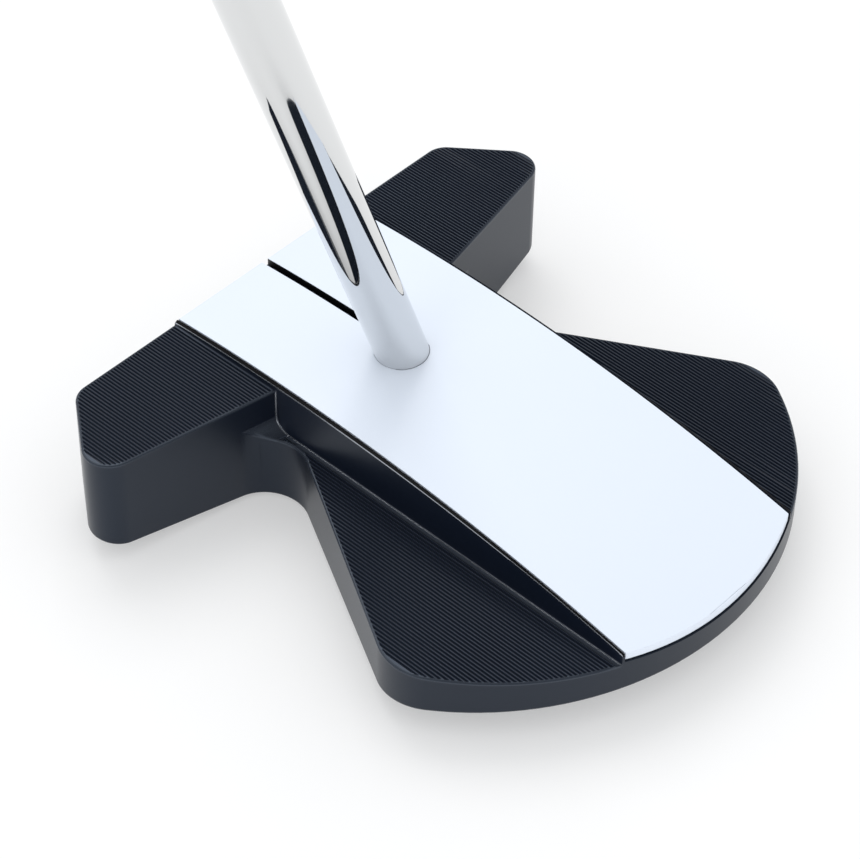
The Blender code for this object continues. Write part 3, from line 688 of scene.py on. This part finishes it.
def wing_block(size):
    """The heel wing: its flat top, ending at its rear wall and that wall's foot."""
    inner = size.spine_half_width / 2.0
    top = [(inner, -DEEP), (FAR, -DEEP), (FAR, size.wing_top), (inner, size.wing_top)]
    front = FACE_Y - DEEP
    block = drawn(lambda _y: top, [front, FAR])

    foot = size.wing_foot
    floor = fan_height(size, wing_rear_y(size, size.spine_half_width)) - FLOOR_SINK
    wall = [(-FAR, 2.0 * DEEP), (-FAR, -2.0 * DEEP), (foot, -2.0 * DEEP)]
    wall += reversed(foot_arc(0.0, floor, foot))
    wall += [(0.0, 2.0 * DEEP)]
    rear = bmesh.new()
    base = rear.faces.new([rear.verts.new((0.0, v, z)) for v, z in wall])
    run = bmesh.ops.extrude_face_region(rear, geom=[base])["geom"]
    bmesh.ops.translate(rear, vec=(2.0 * FAR, 0.0, 0.0), verts=verts_in(run))
    bmesh.ops.translate(rear, vec=(-FAR / 2.0, 0.0, 0.0), verts=rear.verts)
    tilt = Matrix.Rotation(-math.atan(size.wing_rear_slope), 4, "Z")
    rear.transform(Matrix.Translation((0.0, wing_rear_y(size, 0.0) + WALL_GAP, 0.0)) @ tilt)
    return carve(block, rear, "INTERSECT")


def mirrored(bm):
    """A copy on the other side of the middle."""
    other = bm.copy()
    bmesh.ops.scale(other, vec=(-1.0, 1.0, 1.0), verts=other.verts)
    bmesh.ops.reverse_faces(other, faces=other.faces)
    return other


def lean_frame(size, height):
    """Places a shape drawn in X and Y, thick along Z, on the lofted face, looking at the target."""
    hinge = Matrix.Translation((0.0, FACE_Y, size.wing_top))
    middle = Matrix.Translation((0.0, 0.0, height - size.wing_top))
    return hinge @ Matrix.Rotation(-size.face_loft, 4, "X") @ middle @ Matrix.Rotation(-math.pi / 2.0, 4, "X")


def head_blank(size):
    """Floor, spine and wings joined, cut to the outline and the leaning face, with rounded edges."""
    def floor_section(y):
        return symmetric([(FAR, -DEEP), (FAR, fan_height(size, y))])

    blank = drawn(floor_section, [FACE_Y - DEEP, FAR])
    blank = carve(blank, drawn(spine_section(size), stations(size)), "UNION")
    wing = wing_block(size)
    other = mirrored(wing)
    blank = carve(blank, wing, "UNION")
    blank = carve(blank, other, "UNION")
    blank = carve(blank, prism(head_outline(size), 0.0, 2.0 * DEEP), "INTERSECT")
    ahead = [Vector(p) for p in ((-FAR, -DEEP), (FAR, -DEEP), (FAR, 0.0), (-FAR, 0.0))]
    trim = prism(ahead, -2.0 * DEEP, DEEP)
    hinge = Matrix.Translation((0.0, FACE_Y, size.wing_top))
    trim.transform(hinge @ Matrix.Rotation(-size.face_loft, 4, "X"))
    blank = carve(blank, trim)
    blank.normal_update()
    round_edges(blank, foot_edge(size), size.spine_foot, 2)
    return blank


def square_sole(bm, pitch):
    """Cuts the flat bottom into small squares, so that it can be bent to the sole's crown."""
    for axis, normal in enumerate(AXES):
        low = min(vert.co[axis] for vert in bm.verts)
        high = max(vert.co[axis] for vert in bm.verts)
        for i in range(1, math.ceil((high - low) / pitch)):
            bottom = with_borders([face for face in bm.faces if face.normal.z < -LEVEL])
            place = normal * (low + i * pitch)
            bmesh.ops.bisect_plane(bm, geom=bottom, dist=MERGE, plane_co=place, plane_no=normal)
            bm.normal_update()


def lift_sole(bm, size, below):
    """Bends everything under a height up to the sole's crown."""
    for vert in bm.verts:
        if vert.co.z < below:
            vert.co.z += sole_height(size, vert.co.x, vert.co.y)


def shaft_frame(size, shaft):
    """Z runs up the shaft's axis from the point where it meets the ground."""
    entry_y = shaft.shaft_depth + FACE_Y
    entry = Vector((shaft.shaft_offset, entry_y, spine_top(size, entry_y)))
    lean = Matrix.Rotation(shaft.lie_lean, 4, "Y")
    down = Matrix.Translation((0.0, 0.0, -entry.z / math.cos(shaft.lie_lean)))
    return Matrix.Translation(entry) @ lean @ down


def bore(size, shaft, radius, start):
    bm = turned([(0.0, start), (radius, start), (radius, BORE_TOP), (0.0, BORE_TOP)])
    bm.transform(shaft_frame(size, shaft))
    return bm


def plate_recess(size, fit):
    half = fit.plate_half_width + fit.clearance
    depth = fit.plate_thickness + fit.clearance

    def section(y):
        floor = spine_top(size, y) - depth
        return [(-half, floor), (half, floor), (half, DEEP), (-half, DEEP)]
    return drawn(section, stations(size))


def cover_middle(fit):
    return fit.cover_start + fit.cover_length / 2.0


def cover_outline(fit, grow):
    outline = rounded_rectangle(fit.cover_half_width + grow, fit.cover_length / 2.0 + grow,
                                fit.cover_corner + grow)
    return [p + Vector((0.0, cover_middle(fit))) for p in outline]


def cover_screw_places(fit):
    across = fit.cover_half_width - fit.cover_screw_inset + fit.screw_head_radius / 3.0
    along = fit.cover_length / 2.0 - fit.cover_screw_inset
    return [(sx * across, cover_middle(fit) + sy * along) for sx, sy in ((1, -1), (1, 1), (-1, 1), (-1, -1))]


def screw_profile(fit, grow, head_start):
    """A countersunk screw seen from its head's face upwards, grown all over."""
    land = SCREW_LAND
    cone_top = fit.screw_head_radius - fit.screw_radius + land
    head, shank, end = fit.screw_head_radius + grow, fit.screw_radius + grow, fit.screw_length + grow
    return [(0.0, -head_start), (head, -head_start), (head, land), (shank, cone_top), (shank, end),
            (0.0, end)]


def at_sole(size, x, y, lift=0.0):
    return Matrix.Translation((x, y, sole_height(size, x, y) + lift))


def weight_places():
    """The middle of each weight's outer face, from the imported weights."""
    places = {}
    for name in ("front_heel", "front_toe", "rear_heel", "rear_toe"):
        low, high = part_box(name + "_weight")
        places[name] = Vector(((low.x + high.x) / 2.0, (low.y + high.y) / 2.0, low.z))
    return places


def weight_port(fit, place):
    wide = fit.weight_head_radius + fit.clearance
    middle = fit.bushing_radius + fit.clearance
    low = -DEEP / 3.0
    bm = turned([(0.0, low), (wide, low), (wide, fit.port_step), (middle, fit.port_step),
                 (middle, fit.port_end), (0.0, fit.port_end)])
    bm.transform(Matrix.Translation(place))
    return bm


def head_pockets(size, fit):
    """The insert's pocket, the weights' ports and the cover's seat, none of which touch."""
    depth = fit.insert_thickness + fit.insert_pad + 2.0 * fit.clearance
    gap = fit.clearance
    outline = rounded_rectangle(fit.insert_length / 2.0 + gap, fit.insert_height / 2.0 + gap,
                                fit.insert_corner + gap)
    pocket = prism(outline, -DEEP / 3.0, depth)
    pocket.transform(lean_frame(size, fit.insert_middle))
    ports = [weight_port(fit, place) for place in weight_places().values()]
    seat = prism(cover_outline(fit, fit.clearance), 0.0, fit.cover_thickness + fit.clearance)
    for vert in seat.verts:
        if vert.co.z > fit.cover_thickness:
            vert.co.z += sole_height(size, vert.co.x, vert.co.y)
        else:
            vert.co.z = -DEEP / 3.0
    return together(pocket, seat, *ports)


def cover_hollows(size, fit):
    """The lightening cavity above the cover and its four screw holes."""
    outline = rounded_rectangle(fit.cavity_half_width, fit.cover_length / 2.0 - fit.cavity_margin,
                                fit.cover_corner)
    outline = [p + Vector((0.0, cover_middle(fit))) for p in outline]
    hollows = [prism(outline, -DEEP / 3.0, fit.cavity_top)]
    for x, y in cover_screw_places(fit):
        hole = turned(screw_profile(fit, fit.clearance, fit.cover_thickness / 2.0), steps=HOLE_STEPS)
        hole.transform(at_sole(size, x, y))
        hollows.append(hole)
    return together(*hollows)


def flat_tops(bm, size):
    """The wings' and the fan's tops, each beside the spine."""
    found = []
    for face in bm.faces:
        level = face.calc_area() > WIDE_FACE and face.normal.z > LEVEL
        if level and abs(face.calc_center_median().x) > size.spine_half_width:
            found.append(face)
    return found


def head_finish(size, face):
    """Which finish a face of the head has, from where it lies and where it looks."""
    middle = face.calc_center_median()
    up, across = face.normal.z, abs(face.normal.x)
    beside = abs(middle.x) - size.spine_half_width
    depth = spine_top(size, middle.y) - middle.z
    if middle.z < fan_height(size, middle.y) - BELOW_FAN:
        return "wall"
    on_spine = depth < SPINE_EDGE and beside < 0.0
    # The spine's fine chamfer takes the arris finish: bare metal with a painted highlight.
    if on_spine and beside > -1.2 * size.arris and 0.2 < up < 0.6 and across > 0.7:
        return "arris"
    # The rim between the plate and the arris takes near-black paint: painted shade on a band of the head's
    # own anodised metal.
    if on_spine and -RIM_REACH < beside <= -size.arris / 2.0 and up > 0.3:
        return "rim"
    # The fillets at the foot of the spine's walls take the arris finish below the wings' tops: a painted
    # highlight in the concave corner.
    if 0.0 < beside < size.spine_foot and STEEP < across < LEVEL:
        return "arris" if middle.z < size.wing_top - BELOW_WING else "wall"
    if beside < 0.0 or up < STEEP:
        return "wall"
    # Flat tops and crests take the lighter crest colour, a painted highlight.
    if up > LEVEL:
        return "crest"
    # Groove flanks take a less glossy copy of the wall finish, so that they read darker: painted shade in the
    # grooves.
    flank = size.line_depth / math.hypot(size.line_depth, (size.line_pitch - size.line_crest) / 2.0)
    if abs(across - flank) < FLANK_SPREAD and abs(face.normal.y) < STEEP:
        return "groove"
    # What is left are the rounded edges, which take the painted highlight.
    return "edge"


def build_head(context):
    size, fit, shaft, colours = settings(context)
    bm = head_blank(size)
    bm.normal_update()
    upper = rim_edge(1.0, flat=0.2, wall=0.08, clear_of=size.spine_half_width)
    round_edges(bm, upper, size.edge_round, 3)
    bm.normal_update()
    round_edges(bm, rim_edge(-1.0, flat=0.95), size.sole_round, 3)
    bm.normal_update()
    square_sole(bm, SOLE_SQUARE)
    lift_sole(bm, size, SOLE_BAND)
    bm = carve(bm, plate_recess(size, fit))
    bm = carve(bm, bore(size, shaft, shaft.tip_radius + fit.clearance, shaft.tip - fit.clearance))
    bm = carve(bm, head_pockets(size, fit))
    bm = carve(bm, cover_hollows(size, fit))
    bm.normal_update()
    first = size.spine_half_width + size.spine_foot + LINE_MARGIN
    tops = flat_tops(bm, size)
    if len(tops) != 4:
        raise RuntimeError(f"the head has {len(tops)} flat tops, not four")
    for top in tops:
        side = math.copysign(1.0, top.calc_center_median().x)
        reach = max(abs(vert.co.x) for vert in top.verts)
        mill_lines(bm, [top], 0, side * first, side * reach, size.line_pitch, size.line_crest,
                   size.line_depth, LINE_MARGIN)
    finishes = {
        "wall": anodised("anodised_walls", colours.head, 0.32, 0.42),
        # A duller copy of the wall finish: painted shade in the grooves.
        "groove": anodised("grooves_painted_shade", colours.head, 0.36, 0.2),
        # Bare metal and painted highlight on the arris; painted highlight on the spine's foot.
        "arris": brushed("arris_metal_and_painted_highlight", colours.arris, 0.25, (1.0, 0.05, 1.0)),
        # Painted shade on the rim beside the plate.
        "rim": painted("rim_painted_shade", colours.sight_line, 0.5, 0.15),
        # Painted highlight on the crests.
        "crest": anodised("crests_painted_highlight", colours.crest, 0.3, 0.5),
        # Painted highlight on the rounded edges.
        "edge": anodised("edges_painted_highlight", colours.edge_highlight, 0.26, 0.6),
    }
    order = list(finishes)
    place_piece("milled_head", bm, list(finishes.values()), "putter", ["head_body"], sharp=28.0,
                assign=lambda face: order.index(head_finish(size, face)))


def build_plate(context):
    size, fit, shaft, colours = settings(context)
    half = fit.plate_half_width

    def section(y):
        top = spine_top(size, y)
        under = top - fit.plate_thickness
        return [(-half, under), (half, under), (half, top), (-half, top)]

    bm = drawn(section, stations(size))
    front = fit.clearance + FACE_Y
    centre = Vector((0.0, size.fan_centre_depth + FACE_Y))
    radius = size.fan_radius - fit.clearance
    far = 2.0 * size.spine_half_width
    limit = math.acos(far / radius)
    ends = [Vector((-far, front)), Vector((far, front))] + arc(centre, radius, limit, math.pi - limit)
    bm = carve(bm, prism(ends, -DEEP, DEEP), "INTERSECT")
    width = fit.sight_line_width / 2.0
    shaft_y = shaft.shaft_depth + FACE_Y
    ahead = front - DEEP
    slot = [Vector(p) for p in ((-width, ahead), (width, ahead), (width, shaft_y), (-width, shaft_y))]
    bm = carve(bm, prism(slot, 0.0, DEEP))
    bm = carve(bm, bore(size, shaft, shaft.tip_radius + PLATE_BORE_GAP, shaft.tip))
    bm.normal_update()
    round_edges(bm, rim_edge(1.0, flat=0.9), PLATE_ROUND, 2)

    def side_of_slot(face):
        middle = face.calc_center_median()
        beside = abs(middle.x) < width + 10.0 * MERGE and abs(face.normal.x) > 0.8
        return int(beside and middle.y < shaft_y)

    finishes = [painted("pale_paint", colours.plate, 0.34),
                painted("sight_line_paint", colours.sight_line, 0.45)]
    place_piece("alignment_strip", bm, finishes, "putter", ["alignment_plate"],
                assign=side_of_slot)


def build_insert(context):
    size, fit, _, colours = settings(context)
    outline = rounded_rectangle(fit.insert_length / 2.0, fit.insert_height / 2.0, fit.insert_corner)
    bm = prism(outline, -fit.insert_thickness, 0.0)
    round_edges(bm, rim_edge(1.0), INSERT_ROUND, 3)
    bm.normal_update()
    front = [max(bm.faces, key=lambda face: face.calc_area() * face.normal.z)]
    half = fit.insert_height / 2.0
    flat = 0.5 * MM
    mill_lines(bm, front, 1, -half + 0.9 * MM, half - 0.3 * MM, fit.insert_groove_pitch, flat,
               fit.insert_groove_depth, flat)
    bm.transform(lean_frame(size, fit.insert_middle) @ Matrix.Rotation(math.pi, 4, "X"))
    steel = brushed("milled_face_steel", colours.steel, 0.33, (0.05, 1.0, 1.0))
    place_piece("grooved_insert", bm, [steel], "putter", ["face_insert"])
    refinish("insert_pad", rubber("pad_rubber", colours.ring, 0.85))


def hexagon(radius, depth):
    """A key socket that opens downwards at the origin."""
    bm = bmesh.new()
    height = depth + DEEP / 10.0
    bmesh.ops.create_cone(bm, cap_ends=True, segments=6, radius1=radius, radius2=radius, depth=height,
                          matrix=Matrix.Translation((0.0, 0.0, depth - height / 2.0)))
    return bm


def thread(radius, start, pitch, depth, turns):
    """A shank's profile with a V-shaped groove for each turn."""
    profile = []
    for turn in range(turns):
        low = start + turn * pitch
        profile += [(radius, low), (radius - depth, low + pitch / 2.0)]
    return profile


def build_cover(context):
    size, fit, _, colours = settings(context)
    bm = prism(cover_outline(fit, 0.0), 0.0, fit.cover_thickness)
    round_edges(bm, rim_edge(-1.0), COVER_ROUND, 3)
    bm.normal_update()
    square_sole(bm, COVER_SQUARE)
    lift_sole(bm, size, 2.0 * fit.cover_thickness)
    holes = []
    for x, y in cover_screw_places(fit):
        hole = turned(screw_profile(fit, fit.clearance, fit.cover_thickness / 2.0), steps=SCREW_STEPS)
        hole.transform(at_sole(size, x, y))
        holes.append(hole)
    bm = carve(bm, together(*holes))
    place_piece("sole_cover_plate", bm, [anodised("anodised_cover", colours.head, 0.45)], "putter",
                ["sole_cover"])

    steel = brushed("screw_steel", colours.steel, 0.3, (1.0, 1.0, 0.2))
    radius, head, end = fit.screw_radius, fit.screw_head_radius, fit.screw_length
    face, chamfer, land, pitch, point = 0.1 * MM, 0.15 * MM, 0.3 * MM, 0.5 * MM, 0.3 * MM
    neck = head - radius + land
    profile = [(0.0, face), (head - chamfer, face), (head, land - 0.05 * MM), (head, land), (radius, neck)]
    profile += thread(radius, neck + 0.2 * MM, pitch, 0.18 * MM, int((end - neck - 0.5 * MM) / pitch))
    profile += [(radius, end - point), (radius - point, end), (0.0, end)]
    for i, (x, y) in enumerate(cover_screw_places(fit), 1):
        socket = hexagon(fit.screw_socket_radius, fit.screw_socket_depth)
        screw = carve(turned(profile, steps=SCREW_STEPS), socket)
        screw.transform(at_sole(size, x, y))
        place_piece(f"countersunk_screw_{i}", screw, [steel], "putter", [f"cover_screw_{i}"])


def build_weights(context):
    _, fit, _, colours = settings(context)
    steel = brushed("weight_steel", colours.steel, 0.27, (1.0, 1.0, 0.3))
    ring = rubber("ring_rubber", colours.ring, 0.8)
    bushing = brushed("bushing_steel", colours.bushing, 0.35, (1.0, 1.0, 0.2))
    head, shank, seat = fit.weight_head_radius, fit.weight_shank_radius, fit.weight_head_height
    top = seat + fit.weight_shank_length
    soft, relief, pitch = 0.4 * MM, 0.4 * MM, 0.8 * MM
    profile = [(0.0, 0.0)] + [(head + across * soft, up * soft) for across, up in WEIGHT_RIM]
    profile += [(head, seat), (shank, seat)]
    turns = int((fit.weight_shank_length - 1.4 * MM) / pitch)
    profile += thread(shank, seat + relief, pitch, 0.35 * MM, turns)
    profile += [(shank, top - 0.6 * MM), (shank - relief, top), (0.0, top)]
    for name, place in weight_places().items():
        bm = carve(turned(profile), hexagon(fit.weight_socket_radius, fit.weight_socket_depth))
        bm.transform(Matrix.Translation(place))
        place_piece(name + "_screw", bm, [steel], name + "_screw_weight", [name + "_weight"])
        refinish(name + "_ring", ring)
        refinish(name + "_bushing", bushing)


# ---------------------------------------------------------------- shaft and grip

def shaft_radius(shaft, s):
    """Outer radius: a nearly parallel tip, a taper, and a parallel butt."""
    if s <= shaft.neck:
        along = (s - shaft.tip) / (shaft.neck - shaft.tip)
        return shaft.tip_radius + along * (shaft.neck_radius - shaft.tip_radius)
    along = min(1.0, (s - shaft.neck) / (shaft.club_length - shaft.butt_run - shaft.neck))
    return shaft.neck_radius + along * (shaft.butt_radius - shaft.neck_radius)


def build_shaft(context):
    size, _, shaft, colours = settings(context)
    butt = shaft.club_length - shaft.butt_clearance
    stops = [shaft.tip, shaft.neck, shaft.club_length - shaft.butt_run, butt]
    run = []
    for low, high in zip(stops, stops[1:]):
        run += [low + (high - low) * i / 8 for i in range(8)]
    soft = 0.15 * MM
    outside = [(shaft_radius(shaft, s), s) for s in run[1:]]
    outside = [(shaft.tip_radius - soft, shaft.tip), (shaft.tip_radius, shaft.tip + soft)] + outside
    outside += [(shaft.butt_radius, butt - soft), (shaft.butt_radius - soft, butt)]
    inside = [(radius - shaft.wall, s) for radius, s in reversed(outside[1:-1])]
    inside = [(shaft.butt_radius - shaft.wall, butt)] + inside + [(shaft.tip_radius - shaft.wall, shaft.tip)]
    bm = turned(outside + inside, ring=True, steps=144)
    bm.transform(shaft_frame(size, shaft))
    place_piece("chrome_shaft", bm, [plated("shaft_chrome", colours.chrome)], "putter", ["shaft"])
    cork = finish("plug_cork", colours.plug, 0.85, 0.0, mottle=0.3, mottle_scale=900.0, bump=0.4,
                  bump_height=0.1)
    refinish("tip_plug", cork)


def grip_radius(shaft, along):
    eased = along * along * (3.0 - 2.0 * along)
    return shaft.grip_mouth_radius + (shaft.grip_hand_radius - shaft.grip_mouth_radius) * eased


def build_grip(context):
    size, fit, shaft, colours = settings(context)
    gap = fit.clearance
    start, end = shaft.club_length - shaft.grip_length, shaft.club_length
    lip = 1.5 * MM
    bore_radius = shaft.butt_radius + 3.0 * gap
    seat = end - shaft.cap_thickness - gap
    low, high = start + lip, end - 3.0 * lip
    mouth, hand, cap_seat = shaft.grip_mouth_radius, shaft.grip_hand_radius, shaft.cap_radius + gap
    profile = [(bore_radius, start), (mouth - lip, start), (mouth - 0.3 * lip, start + 0.3 * lip)]
    for i in range(GRIP_STEPS + 1):
        profile.append((grip_radius(shaft, i / GRIP_STEPS), low + (high - low) * i / GRIP_STEPS))
    profile += [(hand - lip / 8.0, end - lip), (hand - lip / 3.0, end - lip / 3.0), (hand - lip, end)]
    profile += [(cap_seat, end), (cap_seat, seat), (bore_radius, seat)]
    bm = turned(profile, ring=True, steps=128)

    def groove(turn, s):
        """Two crossing families of moulded lines, fading out towards both ends."""
        rising = (s - low - GROOVE_START) / GROOVE_FADE
        falling = (high - GROOVE_END - s) / GROOVE_FADE
        fade = min(1.0, max(0.0, rising), max(0.0, falling))
        lean = s * math.tau / GROOVE_RISE
        first = 1.0 - min(1.0, abs(math.sin((GROOVE_TURNS * turn + lean) / 2.0)) / GROOVE_WIDTH)
        second = 1.0 - min(1.0, abs(math.sin((GROOVE_TURNS * turn - lean) / 2.0)) / GROOVE_WIDTH)
        return fade * max(first, second)

    for vert in bm.verts:
        reach = math.hypot(vert.co.x, vert.co.y)
        s = vert.co.z
        in_cap_seat = s > seat - MERGE and reach < shaft.cap_radius + 2.0 * gap
        if reach < mouth - lip - MERGE or in_cap_seat:
            continue
        turn = math.atan2(vert.co.y, vert.co.x)
        along = (s - low) / (high - low)
        flatten = max(0.0, min(1.0, FLAT_GROWTH * along))
        facing = flatten * max(0.0, -math.cos(turn)) / (reach * shaft.grip_flat)
        flat_reach = ((1.0 / reach) ** FLAT_CORNER + facing ** FLAT_CORNER) ** (-1.0 / FLAT_CORNER)
        flat_reach -= shaft.grip_texture_depth * groove(turn, s)
        vert.co.x *= flat_reach / reach
        vert.co.y *= flat_reach / reach
    bm.transform(shaft_frame(size, shaft))
    moulded = rubber("grip_rubber", colours.grip, 0.62)
    place_piece("moulded_grip", bm, [moulded], "putter", ["grip"], sharp=40.0)

    radius, vent, base, soft = shaft.cap_radius, shaft.vent_radius, end - shaft.cap_thickness, 0.35 * MM
    outside = [(vent, base), (radius, base)]
    outside += [(radius + across * soft, end + up * soft) for across, up in CAP_RIM]
    cap = turned(outside + [(vent + soft, end), (vent, end - soft)], ring=True)
    cap.transform(shaft_frame(size, shaft))
    hard = rubber("cap_rubber", colours.cap, 0.5)
    place_piece("grip_end_cap", cap, [hard], "putter", ["grip_cap"])
    refinish("grip_tape", finish("tape_paper", colours.tape, 0.8, 0.0, mottle=0.1, mottle_scale=500.0))


# ---------------------------------------------------------------- stage

def area_light(name, place, target, width, height, power):
    data = bpy.data.lights.new(name, "AREA")
    data.shape = "RECTANGLE"
    data.size = width
    data.size_y = height
    data.energy = power
    lamp = bpy.data.objects.new(name, data)
    lamp.location = place
    lamp.rotation_euler = (Vector(target) - Vector(place)).to_track_quat("-Z", "Y").to_euler()
    lamp.visible_camera = False
    bpy.context.scene.collection.objects.link(lamp)


def blended(tree, factor, socket, first, second):
    """Either a fixed number or a node for each side of a mix, chosen by a node's socket."""
    node = tree.nodes.new("ShaderNodeMix")
    link(tree, factor, socket, node, "Factor")
    for name, side in (("A", first), ("B", second)):
        if isinstance(side, float):
            node.inputs[name].default_value = side
        else:
            tree.links.new(side.outputs[0], node.inputs[name])
    return node


def studio_world():
    """Pale light all round, with a darker ceiling for glossy surfaces to mirror."""
    world = bpy.data.worlds.new("studio_light")
    world.use_nodes = True
    tree = world.node_tree
    direction = tree.nodes.new("ShaderNodeTexCoord")
    height = tree.nodes.new("ShaderNodeSeparateXYZ")
    link(tree, direction, "Generated", height, "Vector")
    ceiling = tree.nodes.new("ShaderNodeMapRange")
    tree.links.new(height.outputs["Z"], ceiling.inputs["Value"])
    for name, value in CEILING.items():
        ceiling.inputs[name].default_value = value
    ray = tree.nodes.new("ShaderNodeLightPath")
    mirrored_or_not = blended(tree, ray, "Is Glossy Ray", SKY_STRENGTH, ceiling)
    seen_or_not = blended(tree, ray, "Is Camera Ray", mirrored_or_not, 1.0)
    sky = tree.nodes["Background"]
    sky.inputs["Color"].default_value = SKY_COLOUR
    tree.links.new(seen_or_not.outputs[0], sky.inputs["Strength"])
    world.cycles.sampling_method = "NONE"
    return world


def build_stage(context):
    colours = context.scene.putter_colours
    bm = bmesh.new()
    bmesh.ops.create_grid(bm, x_segments=4, y_segments=4, size=FLOOR_SIZE,
                          matrix=Matrix.Translation((0.0, 0.0, -FLOOR_DROP)))
    mesh = bpy.data.meshes.new("studio_floor")
    bm.to_mesh(mesh)
    bm.free()
    paper = finish("floor_paper", colours.floor, 0.9, 0.0, mottle=0.004, mottle_scale=3.0,
                   grain_scale=1500.0, bump=0.02, specular=0.1)
    shader = paper.node_tree.nodes["Principled BSDF"]
    shader.inputs["Emission Color"].default_value = (1.0, 1.0, 1.0, 1.0)
    shader.inputs["Emission Strength"].default_value = FLOOR_GLOW
    mesh.materials.append(paper)
    floor = bpy.data.objects.new("studio_floor", mesh)
    context.scene.collection.objects.link(floor)

    context.scene.world = studio_world()
    for light in LIGHTS:
        area_light(*light)
    context.scene.view_settings.view_transform = "Standard"

    data = bpy.data.cameras.new("studio_camera")
    data.lens = CAMERA_LENS
    data.sensor_width = CAMERA_SENSOR
    data.shift_x, data.shift_y = CAMERA_SHIFT
    data.clip_start, data.clip_end = CAMERA_CLIP
    camera = bpy.data.objects.new("studio_camera", data)
    level = math.cos(CAMERA_ELEVATION)
    back = Vector((math.sin(CAMERA_AZIMUTH) * level, -math.cos(CAMERA_AZIMUTH) * level,
                   math.sin(CAMERA_ELEVATION)))
    right = (-back).cross(Vector((0.0, 0.0, 1.0))).normalized()
    up = right.cross(-back)
    across = math.cos(CAMERA_ROLL) * right + math.sin(CAMERA_ROLL) * up
    upright = -math.sin(CAMERA_ROLL) * right + math.cos(CAMERA_ROLL) * up
    turn = Matrix((across, upright, back)).transposed().to_4x4()
    camera.matrix_world = Matrix.Translation(CAMERA_PLACE) @ turn
    context.scene.collection.objects.link(camera)
    context.scene.camera = camera


# ---------------------------------------------------------------- add-on

class PUTTER_OT_head(Operator):
    """Build the milled head with its lines and pockets"""
    bl_idname = "putter.head"
    bl_label = "Milled Head"

    def execute(self, context):
        build_head(context)
        return {"FINISHED"}


class PUTTER_OT_plate(Operator):
    """Build the pale plate with its sight line"""
    bl_idname = "putter.plate"
    bl_label = "Alignment Plate"

    def execute(self, context):
        build_plate(context)
        return {"FINISHED"}


class PUTTER_OT_insert(Operator):
    """Build the grooved face insert and finish its pad"""
    bl_idname = "putter.insert"
    bl_label = "Face Insert"

    def execute(self, context):
        build_insert(context)
        return {"FINISHED"}


class PUTTER_OT_cover(Operator):
    """Build the sole cover and its screws"""
    bl_idname = "putter.cover"
    bl_label = "Sole Cover"

    def execute(self, context):
        build_cover(context)
        return {"FINISHED"}


class PUTTER_OT_weights(Operator):
    """Build the screw-in weights and finish their rings and bushings"""
    bl_idname = "putter.weights"
    bl_label = "Sole Weights"

    def execute(self, context):
        build_weights(context)
        return {"FINISHED"}


class PUTTER_OT_shaft(Operator):
    """Build the chrome shaft and finish its plug"""
    bl_idname = "putter.shaft"
    bl_label = "Shaft"

    def execute(self, context):
        build_shaft(context)
        return {"FINISHED"}


class PUTTER_OT_grip(Operator):
    """Build the moulded grip, its cap and its tape"""
    bl_idname = "putter.grip"
    bl_label = "Grip"

    def execute(self, context):
        build_grip(context)
        return {"FINISHED"}


class PUTTER_OT_stage(Operator):
    """Set up the floor, the light and the camera"""
    bl_idname = "putter.stage"
    bl_label = "Studio Stage"

    def execute(self, context):
        build_stage(context)
        return {"FINISHED"}


OPERATORS = (PUTTER_OT_stage, PUTTER_OT_head, PUTTER_OT_plate, PUTTER_OT_insert, PUTTER_OT_cover,
             PUTTER_OT_weights, PUTTER_OT_shaft, PUTTER_OT_grip)


class PUTTER_PT_tools(Panel):
    """The putter's pieces, in the order in which they are built"""
    bl_label = "Mallet Putter"
    bl_idname = "PUTTER_PT_tools"
    bl_space_type = "VIEW_3D"
    bl_region_type = "UI"
    bl_category = "Putter"

    def draw(self, context):
        for operator in OPERATORS:
            self.layout.operator(operator.bl_idname)
        for name in GROUPS:
            box = self.layout.box()
            group = getattr(context.scene, name)
            for key in group.bl_rna.properties.keys():
                if key not in {"rna_type", "name"}:
                    box.prop(group, key)


GROUPS = {
    "putter_head": PutterHeadSizes,
    "putter_fittings": PutterFittingSizes,
    "putter_shaft": PutterShaftSizes,
    "putter_colours": PutterColours,
}


def register():
    for name, group in GROUPS.items():
        bpy.utils.register_class(group)
        setattr(bpy.types.Scene, name, PointerProperty(type=group))
    for made in (*OPERATORS, PUTTER_PT_tools):
        bpy.utils.register_class(made)


def unregister():
    for made in (PUTTER_PT_tools, *reversed(OPERATORS)):
        bpy.utils.unregister_class(made)
    for name, group in GROUPS.items():
        delattr(bpy.types.Scene, name)
        bpy.utils.unregister_class(group)


def main():
    register()
    for operator in OPERATORS:
        _, name = operator.bl_idname.split(".")
        getattr(bpy.ops.putter, name)()


if __name__ == "__main__":
    main()
